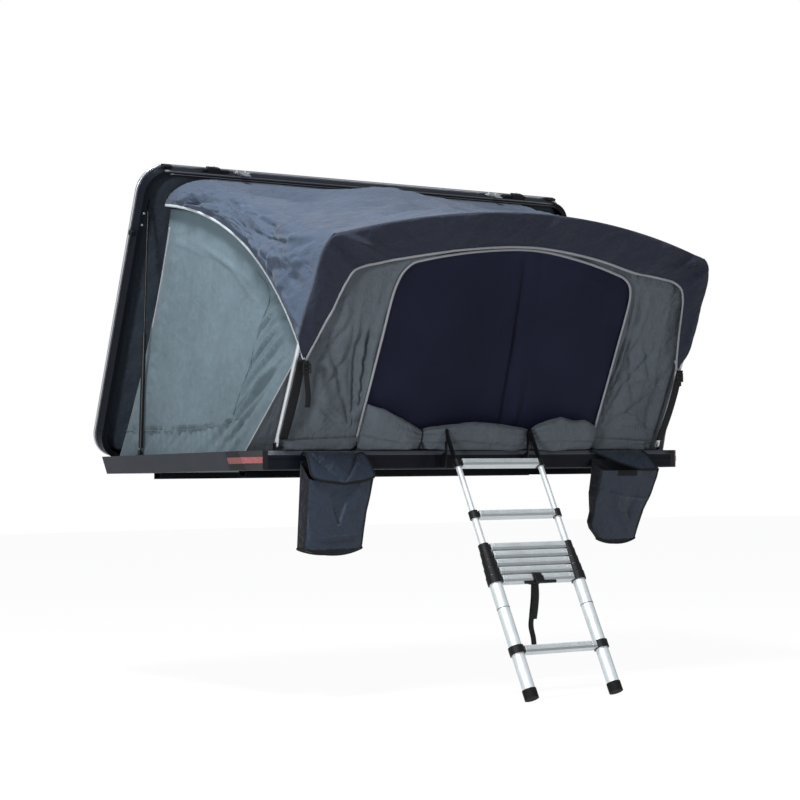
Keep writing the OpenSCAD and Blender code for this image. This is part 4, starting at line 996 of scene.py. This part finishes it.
def side_wall_folds(grid):
    """Folds of a side wall: the flat window cover, the gathered skirt, and pulls to the front corner."""
    y = grid[..., 1]
    z = grid[..., 2] - TRAY_TOP
    u, v = shares(*grid.shape[:2])
    front_line = np.interp(z, [0.157, 0.330, 0.540, 0.675], [-0.41, -0.47, -0.53, -0.56])
    foot_line = np.interp(y, [-0.50, -0.36, -0.14, 0.54], [0.152, 0.124, 0.108, 0.118])
    cover = ease((y - front_line) / 0.016) * ease((z - foot_line) / 0.012)
    cover = cover * ease((0.60 - 0.35 * z - y) / 0.03)
    soft = 0.012 * folds(y, z, 0.50, 0.7, 51.0, 2) + 0.006 * folds(y + 0.25 * z, z, 0.10, 0.55, 53.0, 2)
    at_rear = ease((y - 0.36 + 0.35 * z) / 0.08)
    soft = soft + 0.0028 * crumple(y, z, 0.22, 52.0) + 0.006 * crumple(y, z, 0.11, 58.0) * at_rear
    pulls = creases(y, z, WALL_CREASES, 0.011, 0.016)
    for k in range(9):
        z0 = 0.13 + 0.066 * k
        bend = 0.02 * math.sin(2.3 * k)
        start = (np.interp(z0, [0.157, 0.675], [-0.41, -0.55]) + 0.01, z0 - 0.075)
        end = (-0.62 - 0.28 * z0 + bend, z0 + 0.150 + bend)
        pulls = pulls + crease(y, z, start, end, 0.010, 0.024 if k % 2 else 0.016)
    outside = 0.013 * folds(0.7 * (y + z), 0.7 * (z - y), 0.045, 0.30, 55.0, 2) * (1 - cover)
    gathers = np.sin(y * 120 + 2.5 * folds(y, z, 0.2, 0.2, 57.0))
    pleats = 0.0035 * gathers * ease((foot_line + 0.01 - z) / 0.04)
    held = np.minimum(1, hump(u) * 2.0) * np.minimum(1, hump(v) * 4.0)
    return (soft + pulls * (1 - 0.75 * cover) + outside + pleats + 0.006 * cover) * held


def on_wall(grid, y, z):
    """A place on a wall by y and the height over the tray, smoothed over its neighbours."""
    away = (grid[..., 1] - y) ** 2 + (grid[..., 2] - TRAY_TOP - z) ** 2
    x = mean_near(grid[..., 0], away, 0.024)
    return np.array([x + math.copysign(0.002, x), y, TRAY_TOP + z])


def make_side_walls(fly):
    for name, side, column in SIDES:
        grid = side_wall_grid(fly[:, column])
        grid = (grid + np.array([1.0, 0, 0.12]) * side_wall_folds(grid)[..., None]) * (side, 1, 1)
        cloth_piece(
            f"{name}_wall_sheet", grid, WALL, into_lid, f"{name}_wall",
        )
        lines = []
        for path in (COVER_FRONT, COVER_FOOT):
            on_cloth = [on_wall(grid, y, z) for y, z in smooth_path(path, 26)]
            lines.append(tube_piece("seam", smooth_path(on_cloth, 60), 0.0016, SEAM, sides=6))
        wear(joined(f"{name}_window_seams", lines), into_lid)
        rear = smooth_path(grid[58:104:4, 1], 40)
        wear(band_piece(f"{name}_rear_seam", rear, (0, 1, 0), 0.008, PIPING_GREY), into_lid)
        make_rear_return(name, side, grid[2:, 0])
        make_gusset(name, side, grid[:, -1])


def make_rear_return(name, side, edge):
    """The narrow panel behind a side wall's rear edge, turned inwards to the lid's liner."""
    along = (edge - HINGE * (0, 1, 1)) @ LID_ALONG
    liner = on_lid(side * (np.abs(edge[:, 0]) - 0.115), along, 0.056)
    u, w = shares(len(edge), 17)
    down, across = 1.2 * u, 0.15 * w
    slack = 0.012 * folds(down, across, 0.16, 0.4, 81.0) + 0.004 * crumple(down, across, 0.12, 83.0)
    slack = slack * hump(w)
    inwards = np.array([side * 0.8, 0.6, 0])
    grid = mix(edge[:, None], liner[:, None], w[..., None]) - inwards * np.maximum(slack, -0.004)[..., None]
    cloth_piece(f"{name}_rear_return", grid, WALL, into_lid)


def make_gusset(name, side, seam):
    """The corner of the tent between a side wall's front seam and the front wall's edge beside the leg."""
    u, w = shares(len(seam), 41)
    inner = by_bow(side * (WALL_EDGE_X - 0.004), mix(-0.005, 0.44, u[:, 0]), WALL_BACK + 0.012)
    low = len(seam) // 12
    inner[:low, 1:] = mix(np.array([-0.617, 0.095]), inner[low, 1:], np.linspace(0, 1, low)[:, None])
    swell = 0.010 * folds(w, u, 0.4, 0.35, 61.0) + 0.006 * crumple(w + 0.5 * u, u, 0.3, 63.0) + 0.010
    out = np.array([side * 0.75, -0.65, 0.1])
    grid = mix(seam[:, None], inner[:, None], w[..., None]) + out * (swell * hump(w) * hump(u))[..., None]
    cloth_piece(f"{name}_corner_gusset", grid, GUSSET, into_lid)
    edge = smooth_path(seam[::6], 50) + out * 0.002
    wear(band_piece(f"{name}_corner_seam", edge, (0, 0.5, -1), 0.006, PIPING_GREY), into_lid)


# Mattress, headliner and the trim of the shell
def make_mattress():
    """A crowned pad with shallow quilting."""
    lo, hi = (np.array(corner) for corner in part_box("mattress"))
    rows, cols = 60, 100
    b, a = (2 * share - 1 for share in shares(rows + 1, cols + 1))
    x, y = ((lo[k] + hi[k]) / 2 + (hi[k] - lo[k]) / 2 * share for k, share in ((0, a), (1, b)))
    edge = (np.maximum(0, 1 - np.abs(a) ** 24) * np.maximum(0, 1 - np.abs(b) ** 16)) ** 0.5
    half_x, half_y = (hi - lo)[:2] / 2
    quilt = 0.0025 * np.abs(np.sin(a * half_x * 11) * np.sin(b * half_y * 11))
    top = np.stack([x, y, lo[2] + 0.02 + (hi[2] - lo[2] - 0.022) * edge + quilt], -1).reshape(-1, 3)
    upper = grid_faces(rows + 1, cols + 1)
    n = len(top)
    lower = [tuple(n + i for i in reversed(f)) for f in upper]
    index = np.arange(n).reshape(rows + 1, cols + 1)
    rim = np.concatenate([index[0], index[1:, -1], index[-1, -2::-1], index[-2:0:-1, 0]]).tolist()
    walls = [(j, n + j, n + i, i) for i, j in zip(rim, rim[1:] + rim[:1])]
    points = np.vstack([top, np.column_stack([top[:, :2], np.full(n, lo[2])])])
    pad = mesh_piece("mattress_pad", points, upper + lower + walls, FOAM)
    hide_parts("mattress")
    wear(pad, folding("base", (0, 0, lo[2])))


LID_HALF_X = 1.212
LID_MID = 0.690
LID_HALF_Y = 0.703
LID_R = 0.130
LINER_INSET = 0.0285


def make_headliner():
    """A padded liner inside the lid, stitched in diamonds."""
    rows, cols = 110, 190
    half_x, half_y, r = (size - LINER_INSET for size in (LID_HALF_X, LID_HALF_Y, LID_R))
    t, a = (2 * share - 1 for share in shares(rows + 1, cols + 1))
    b = t * half_y
    in_corner = np.maximum(0, np.abs(b) - (half_y - r))
    x = a * (half_x - r + np.sqrt(np.maximum(0, r * r - in_corner ** 2)))
    puff = np.abs(np.sin((x + b) * 18) * np.sin((x - b) * 18)) ** 0.5
    liner = sheet_piece("headliner_quilt", on_lid(x, LID_MID + b, 0.068 - 0.006 * puff), QUILT, 0.003)
    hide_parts("headliner")
    wear(liner, "lid")


def make_beam_painted_highlight():
    """A painted highlight: a lighter strip along the bevel at the top of the front beam, where the bevel faces up
    into the light.
    """
    lo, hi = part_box("front_beam")
    top = np.array([0, lo.y + 0.007, hi.z])
    low = np.array([0, lo.y, hi.z - 0.020])
    out = np.array([0, -0.943, 0.333]) * 0.0006
    t = np.array((0.04, 0.2, 0.4, 0.6, 0.8, 0.96))[:, None, None]
    grid = mix(top, low, t) + out + np.linspace(lo.x, hi.x, 40)[:, None] * ACROSS
    wear(sheet_piece("front_beam_painted_highlight", grid, BEAM_HIGHLIGHT, 0.0008), "base")


def lid_outline(grow, n):
    """The lid's rounded outline, anticlockwise, as distances across the lid and along it."""
    points = []
    for cx, cy, start in ((1, 1, 0), (-1, 1, 90), (-1, -1, 180), (1, -1, 270)):
        a = np.radians(start + np.linspace(0, 90, n + 1))
        x = cx * (LID_HALF_X + grow - LID_R) + LID_R * np.cos(a)
        points.append(np.stack([x, LID_MID + cy * (LID_HALF_Y + grow - LID_R) + LID_R * np.sin(a)]))
    return np.hstack(points)


def make_lid_trim():
    """Two bars along the rim's front, the edge bead, a bumper, corner caps, latch plates, studs and bolts."""
    bars = []
    for x0, x1, along in ((-1.126, 1.085, 1.3845), (-1.096, 1.105, 1.3700)):
        path = on_lid(np.linspace(x0, x1, 60), along, 0.0016)
        bars.append(band_piece("bar", path, LID_ALONG, 0.0105, RIDGE))
    wear(joined("lid_rim_bars", bars), "lid")
    edge = on_lid(*lid_outline(0.003, 20), 0.071)
    bead = tube_piece("lid_edge_bead", edge, 0.006, EDGE, sides=10, closed=True)
    wear(bead, "lid")
    caps = [(on_lid(-1.218, 1.077, 0.040), (0.022, 0.026, 0.026), 0.006)]
    bright = []
    for _, side, _ in SIDES:
        caps.append((on_lid(side * 1.10, 1.398, 0.045), (0.045, 0.014, 0.030), 0.004))
        caps.append((on_lid(side * 0.855, 1.399, 0.030), (0.135, 0.012, 0.018), 0.003))
        for x in (0.6875, 0.7525):
            bright.append((on_lid(side * x, 1.398, 0.030), (0.015, 0.012, 0.022), 0.002))
        bright.append((on_lid(side * 0.87, 1.4165, 0.030), (0.016, 0.003, 0.008), 0.0014))
        for along in (1.182, 1.128):
            bright.append((on_lid(side * 1.193, along, -0.0004), (0.010, 0.010, 0.0024), 0.001))
    wear(boxes("lid_caps", LID_AXES, PLASTIC, caps), "lid")
    wear(boxes("lid_latch_trim", LID_AXES, STEEL, bright), "lid")


# Straps, sleeves and buckles on the bow; a strap's free end by its side
STRAP_FALL = {"left": 0.19, "right": 0.07}
BUCKLE_AXES = (ACROSS, np.array([0, 0, 1.0]), np.array([0, 1.0, 0]))


def make_pole_sleeves():
    """Black tape from each tip of the fly down to the leg's foot, and a buckle with its strap's free end."""
    for name, side, _ in SIDES:
        t = np.linspace(0, 1, 30)
        path = by_bow(side * (BOW_X - 0.015), mix(0.390, 0.035, t), -0.020 - 0.012 * hump(t))
        sleeve = strap_piece(f"{name}_leg_sleeve", path, ACROSS, 0.038, BINDING, 0.004)
        wear(sleeve, "bow_legs")
        top = by_bow(side * 1.012, 0.392, -0.034)
        t = np.linspace(0, 1, 24)
        strap = top + np.stack([side * 0.004 * np.sin(6 * t), -0.004 * hump(t), -STRAP_FALL[name] * t], -1)
        wear(strap_piece(f"{name}_leg_strap", strap, ACROSS, 0.025, TAPE), onto_leg)
        middle = top + (0, -0.003, -0.030)
        bars = [(middle + (0, 0, dz), (0.036, 0.006, 0.007), 0.0015) for dz in (-0.017, 0.0, 0.017)]
        bars += [(middle + (dx, 0, 0), (0.006, 0.042, 0.007), 0.0015) for dx in (-0.0165, 0.0165)]
        wear(boxes(f"{name}_leg_buckle", BUCKLE_AXES, PLASTIC, bars), onto_leg)


# Shoe bags. Left, right and depth run from the mouth, 0, to the foot, 1. A crease goes from and to a place
# given by x and the share of the height. A dent has its place, half width and depth. A flap's front edge has
# points of a share across, x, y and z.
BAGS = {
    "left": {
        "left": [(0, -0.165), (0.25, -0.170), (1, -0.186)],
        "right": [(0, 0.160), (0.2, 0.146), (0.5, 0.122), (1, 0.098)],
        "depth": [(0, 0.079), (1, 0.076)],
        "rim": 0.085, "foot": -0.300, "sag": 0.026,
        "creases": [((-0.13, 0.90), (0.06, 0.86)), ((0.075, 0.30), (0.050, 0.62))],
        "dent": (-0.020, 0.090, 0.020),
        "flap": {
            "back": (-0.152, 0.125),
            "front": [(0, -0.156, -0.757, 0.012), (0.07, -0.150, -0.765, -0.004),
                      (0.2, -0.115, -0.770, -0.016), (0.5, -0.005, -0.776, -0.025),
                      (0.8, 0.100, -0.771, -0.018), (1, 0.157, -0.764, -0.004)],
            "valley": 0.042, "lift": 0.030, "dip": 0.004,
        },
    },
    "right": {
        "left": [(0, -0.172), (0.15, -0.178), (0.42, -0.195), (0.65, -0.190), (0.78, -0.205), (0.86, -0.195),
                 (1, -0.150)],
        "right": [(0, 0.180), (0.12, 0.170), (0.33, 0.140), (0.6, 0.110), (1, 0.062)],
        "depth": [(0, 0.079), (0.35, 0.070), (0.6, 0.040), (0.8, 0.034), (1, 0.028)],
        "rim": 0.055, "foot": -0.298, "sag": 0.022,
        "creases": [((-0.090, 0.48), (0.020, 0.96)), ((-0.120, 0.42), (-0.020, 0.50)),
                    ((-0.020, 0.48), (0.120, 0.52))],
        "dent": (0.020, 0.060, 0.010),
        "flap": {
            "back": (-0.165, 0.135),
            "front": [(0, -0.165, -0.690, 0.100), (0.4, -0.045, -0.732, 0.048), (0.75, 0.060, -0.762, 0.016),
                      (1, 0.150, -0.770, 0.018)],
            "valley": 0.003, "lift": 0.010, "dip": 0,
        },
    },
}


def make_bag(name):
    """A hanging bag: a sagging shell whose sides and foot take a darker cloth, painted shade that is partly the
    foot's own dark mesh, creased on its front, edged in black binding.
    """
    lo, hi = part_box(f"{name}_shoe_bag")
    shape = BAGS[name]
    centre = (lo.x + hi.x) / 2
    back = hi.y - 0.001
    rows, cols = 70, 128
    t = np.linspace(0, 1, rows + 1)[:, None]
    across, share = rounded_square(angles(cols), 9)
    x0, x1, deep = (np.interp(t, *zip(*shape[key])) for key in ("left", "right", "depth"))
    x = (x0 + x1) / 2 + (x1 - x0) / 2 * across
    mouth = hi.z - 0.002 - shape["rim"] * (1 - share) / 2
    z = mix(mouth, shape["foot"], t) - shape["sag"] * (1 - np.minimum(1, np.abs(across)) ** 2) * t ** 5
    level = (hi.z - z) / (hi.z - shape["foot"])
    where, wide, deep_in = shape["dent"]
    reach = np.clip((level - 0.2) / 0.55, 0, 1)
    inside = 1 - np.abs(x - where) / (wide * (1.05 - reach))
    fold = creases(x, level, shape["creases"], 0.013, 0.010)
    fold = fold - deep_in * ease(2.2 * inside) * reach * (1 - ease((level - 0.73) / 0.05))
    fold = fold + 0.0022 * crumple(x, z, 0.10, 71.0) + 0.004 * folds(x, z, 0.12, 0.16, 72.0, 2)
    y = np.minimum(back - deep / 2 * (1 - share) - fold * np.maximum(0, -share) ** 2, back)
    points = np.stack([centre + x, y, z], -1)
    faces = grid_faces(rows + 1, cols, round_cols=True) + [tuple(range(rows * cols, (rows + 1) * cols))]
    shell = mesh_piece(f"{name}_bag_shell", points.reshape(-1, 3), faces, BAG)
    shell.data.materials.append(BAG_SHADE_AND_MESH)
    # Painted shade: the side panels, back and foot get the darker cloth.
    on_side = (np.abs(across) > 0.97) & (np.abs(share) < 0.92)
    dark = (on_side | (share > 0.9) | (z < shape["foot"] - 0.001)).ravel()
    for face in shell.data.polygons:
        face.material_index = int(dark[face.vertices[0]])
    thicken(shell, 0.0016, -1)
    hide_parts(f"{name}_shoe_bag")
    wear(shell, "base")
    bind = []
    for corner in (0.125, 0.375, 0.875):
        path = smooth_path(points[::5, int(round(corner * cols))], 40)
        bind.append(tube_piece("bind", path, 0.0044, BINDING))
    bind.append(tube_piece("bind", points[-1], 0.0054, BINDING, closed=True))
    wear(joined(f"{name}_bag_binding", bind), "base")
    make_bag_flap(name, centre, hi.y)
    if name == "right":
        make_hook_tape(points[:, share < -0.97], centre)


def make_hook_tape(front, centre):
    """A strip of black hook tape sewn near the top of a bag's front."""
    grid = np.zeros((5, 30, 3))
    for i, z in enumerate(np.linspace(0.012, -0.012, 5)):
        for j, x in enumerate(np.linspace(-0.079, 0.036, 30)):
            away = (front[..., 0] - centre - x) ** 2 + (front[..., 2] - z) ** 2
            grid[i, j] = (centre + x, mean_near(front[..., 1], away, 0.010) - 0.0022, z)
    wear(sheet_piece("right_bag_hook_tape", grid, TAPE, 0.0016), "base")


def make_bag_flap(name, centre, back):
    """The flap, from the beam's top edge over the bag's mouth, with two valleys that meet in front."""
    shape = BAGS[name]["flap"]
    t, share = shares(61, 91)
    at, *front = zip(*shape["front"])
    fx, fy, fz = (np.interp(share, at, values) for values in front)
    fz = fz - shape["dip"] * hump(share)
    line = np.abs(np.abs(2 * share - 1) - (1 - t))
    valley = shape["valley"] * np.exp(-line / 0.11) * np.sin(math.pi * np.minimum(1, 0.92 * t + 0.06)) ** 0.8
    x = centre + mix(mix(*shape["back"], share), fx, t)
    y = mix(back - 0.002, fy, t) + 0.0065 * (1 - np.minimum(1, t / 0.1))
    z = mix(TRAY_TOP - 0.004, fz, t) + shape["lift"] * hump(t) - valley
    z = z + 0.0022 * crumple(x, y + z, 0.07, 75.0) * hump(t)
    grid = np.stack([x, y, z], -1)
    cloth_piece(f"{name}_bag_flap", grid, BAG, "base", thickness=0.002)
    rim = np.vstack([grid[:, 0], grid[-1, 1:], grid[-2::-1, -1]])
    wear(tube_piece(f"{name}_flap_binding", smooth_path(rim[::4], 110), 0.0050, BINDING), "base")


# Ladder details; places down the ladder are measured from its pivot
RUNGS = [0.161, 0.411] + [0.568 + 0.0375 * k for k in range(5)]
LOW_RUNG = 1.039
STRAP_RUNG = RUNGS[-1]
TUBE_RING = 0.848
# Tilt and axes of the darker strips that paint shade on the rungs' lower faces
SHADE_STRIP_LEAN = math.radians(20)
SHADE_STRIP_AXES = (
    ACROSS,
    LADDER_DOWN * math.cos(SHADE_STRIP_LEAN) - LADDER_FRONT * math.sin(SHADE_STRIP_LEAN),
    LADDER_FRONT * math.cos(SHADE_STRIP_LEAN) + LADDER_DOWN * math.sin(SHADE_STRIP_LEAN),
)
# Points of the strap's two layers from its top
STRAP_TAIL = [
    (0, 0, 0), (0.000, 0.004, -0.06), (-0.006, 0.008, -0.13), (-0.014, 0.004, -0.18), (-0.004, 0.002, -0.23),
    (0.006, 0.008, -0.285),
]
STRAP_LAYER = [
    (0.004, -0.006, 0.004), (0.006, -0.006, -0.05), (0.002, -0.004, -0.105), (-0.008, -0.006, -0.150),
]


def ladder_tube(k):
    """Radius of a ladder section's tubes."""
    lo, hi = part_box(f"ladder_section_{k}")
    return (hi.x - lo.x) / 2 - LADDER_HALF


def make_ladder_details():
    """Darker strips of painted shade over each rung's lower face, and tread ribs and rivets on every rung. The
    lowest section has two rungs.
    """
    for k, at in enumerate(RUNGS, start=1):
        reach = LADDER_HALF - ladder_tube(k) - 0.006
        rungs = (at, LOW_RUNG) if k == len(RUNGS) else (at,)
        # Painted shade: darker strips over each rung's lower front, tilted downwards.
        shade_strips = [
            (on_ladder(0, low + 0.0100, 0.0192), (2 * reach - 0.004, 0.0105, 0.0040), 0.0008)
            for low in rungs
        ]
        ribs = [
            (on_ladder(0, low + dy, 0.0198), (2 * reach - 0.012, 0.0024, 0.0022), 0.0008)
            for low in rungs for dy in (-0.011, -0.006, -0.001)
        ]
        rivets = [
            (on_ladder(side * (reach - 0.020), low + dy, 0.0196), (0.006, 0.006, 0.004), 0.0019)
            for side in (-1, 1) for low in rungs for dy in (-0.006, 0.006)
        ]
        wear(boxes(f"rung_shade_strips_{k}", SHADE_STRIP_AXES, RUNG_SHADE_METAL, shade_strips), f"ladder_{k}")
        wear(boxes(f"rung_ribs_{k}", LADDER_AXES, ALUMINIUM, ribs), f"ladder_{k}")
        wear(boxes(f"rung_rivets_{k}", LADDER_AXES, STEEL, rivets), f"ladder_{k}")


def make_ladder_strap():
    """The carrying strap, clipped under the stack's lowest rung and hanging in two layers, and the rings."""
    down, front = rounded_square(np.linspace(0, 2 * math.pi, 21), 6)
    wrap = on_ladder(-0.010, STRAP_RUNG + 0.0185 * down, 0.0225 * front)
    top = on_ladder(-0.020, STRAP_RUNG + 0.020, -0.006)
    slant = (0.93, 0.36, 0)
    straps = [
        strap_piece("strap", wrap, ACROSS, 0.050, TAPE),
        strap_piece("strap", smooth_path(top + STRAP_TAIL, 50), slant, 0.038, TAPE, 0.003),
        strap_piece("strap", smooth_path(top + STRAP_LAYER, 40), slant, 0.052, TAPE, 0.003),
    ]
    wear(joined("ladder_strap", straps), "ladder_7")
    clip = [
        (on_ladder(0.005, STRAP_RUNG + 0.020, 0.012), (0.170, 0.014, 0.012), 0.005),
        (on_ladder(-0.004, STRAP_RUNG + 0.012, 0.0235), (0.046, 0.034, 0.008), 0.003),
    ]
    wear(boxes("ladder_strap_clip", LADDER_AXES, PLASTIC, clip), "ladder_7")
    tube = ladder_tube(7)
    a = angles(32)
    rings = []
    for _, side, _ in SIDES:
        ring = on_ladder(side * LADDER_HALF + tube * np.cos(a), TUBE_RING, tube * np.sin(a))
        rings.append(tube_piece("ring", ring, 0.0014, RUBBER, sides=6, closed=True))
    wear(joined("ladder_tube_rings", rings), "ladder_7")


# Stage, light and camera
CAMERA_AT = (-5.297, -7.890, -0.036)
CAMERA_AZIMUTH = math.radians(-33.97)
CAMERA_PITCH = math.radians(2.38)
CAMERA_ROLL = math.radians(-0.73)
FRAME_PX = 800
FOCAL_PX = 2018
SENSOR_MM = 36.0
FLOOR_HALF = 30.0
LIT_POINT = Vector((0, -0.3, 0.4))
# Each lamp's name, place, power in watts and size
LAMPS = (
    ("key", (-3.2, -2.6, 6.4), 800, 1.4),
    ("front", (-6.2, -4.6, 0.8), 300, 0.8),
    ("fill", (4.5, -6.0, 1.2), 52, 2.0),
)


def make_camera():
    data = bpy.data.cameras.new("camera")
    data.sensor_width = SENSOR_MM
    data.lens = FOCAL_PX / FRAME_PX * SENSOR_MM
    data.clip_end = 100
    cam = link("camera", data)
    level = math.cos(CAMERA_PITCH)
    sideways, forwards = -math.sin(CAMERA_AZIMUTH), math.cos(CAMERA_AZIMUTH)
    look = Vector((sideways * level, forwards * level, math.sin(CAMERA_PITCH)))
    right = look.cross(Vector((0, 0, 1))).normalized()
    up = right.cross(look)
    c, s = math.cos(CAMERA_ROLL), math.sin(CAMERA_ROLL)
    right, up = c * right + s * up, c * up - s * right
    turn = Matrix((right, up, -look)).transposed().to_4x4()
    cam.matrix_world = Matrix.Translation(CAMERA_AT) @ turn
    bpy.context.scene.camera = cam


def seen_as(tree, *rays):
    """1 for the given kinds of rays, 0 for others."""
    path = add(tree, "ShaderNodeLightPath")
    seen = path.outputs[rays[0]]
    for ray in rays[1:]:
        seen = math_node(tree, "MAXIMUM", seen, path.outputs[ray])
    return seen


def make_stage():
    """A floor that looks white and keeps a soft shadow."""
    floor_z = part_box("ladder_feet")[0].z - 0.002
    corners = [(x * FLOOR_HALF, y * FLOOR_HALF, floor_z) for x, y in ((-1, -1), (1, -1), (1, 1), (-1, 1))]
    look = Look("floor_paint", 0.8, Base_Color=(0.60, 0.60, 0.60, 1))
    seen = seen_as(look.tree, "Is Camera Ray", "Is Glossy Ray", "Is Transmission Ray")
    white = add(look.tree, "ShaderNodeEmission", {"Color": (1, 1, 1, 1), "Strength": 1.05})
    shaders = {0: look.math("MULTIPLY", seen, 0.9), 1: look.shader.outputs[0], 2: white.outputs[0]}
    both = add(look.tree, "ShaderNodeMixShader", shaders)
    look.tree.links.new(both.outputs[0], look.tree.nodes["Material Output"].inputs["Surface"])
    mesh_piece("floor", corners, [(0, 1, 2, 3)], look.material)


def make_light():
    """Three lamps in a dim world that looks white."""
    world = bpy.data.worlds.new("studio")
    bpy.context.scene.world = world
    world.use_nodes = True
    tree = world.node_tree
    dim = tree.nodes["Background"]
    dim.inputs["Color"].default_value = (0.92, 0.96, 1.0, 1)
    dim.inputs["Strength"].default_value = 0.33
    white = add(tree, "ShaderNodeBackground", {"Color": (1, 1, 1, 1), "Strength": 1.0})
    seen = seen_as(tree, "Is Camera Ray", "Is Transmission Ray")
    both = add(tree, "ShaderNodeMixShader", {0: seen, 1: dim.outputs[0], 2: white.outputs[0]})
    tree.links.new(both.outputs[0], tree.nodes["World Output"].inputs["Surface"])
    for name, at, watts, size in LAMPS:
        data = bpy.data.lights.new(name, "AREA")
        data.energy = watts
        data.size = size
        lamp = link(name, data)
        lamp.location = at
        lamp.rotation_mode = "QUATERNION"
        lamp.rotation_quaternion = (LIT_POINT - Vector(at)).to_track_quat("-Z", "Y")


dress_frame()
make_camera()
fly_points = make_fly()
make_visor()
door_outline = make_front_wall()
make_mesh_door(door_outline)
make_door_roll()
make_front_skirt()
make_side_walls(fly_points)
make_mattress()
make_headliner()
make_beam_painted_highlight()
make_lid_trim()
make_pole_sleeves()
make_bag("left")
make_bag("right")
make_ladder_details()
make_ladder_strap()
make_stage()
make_light()
bpy.context.scene.view_settings.view_transform = "Standard"
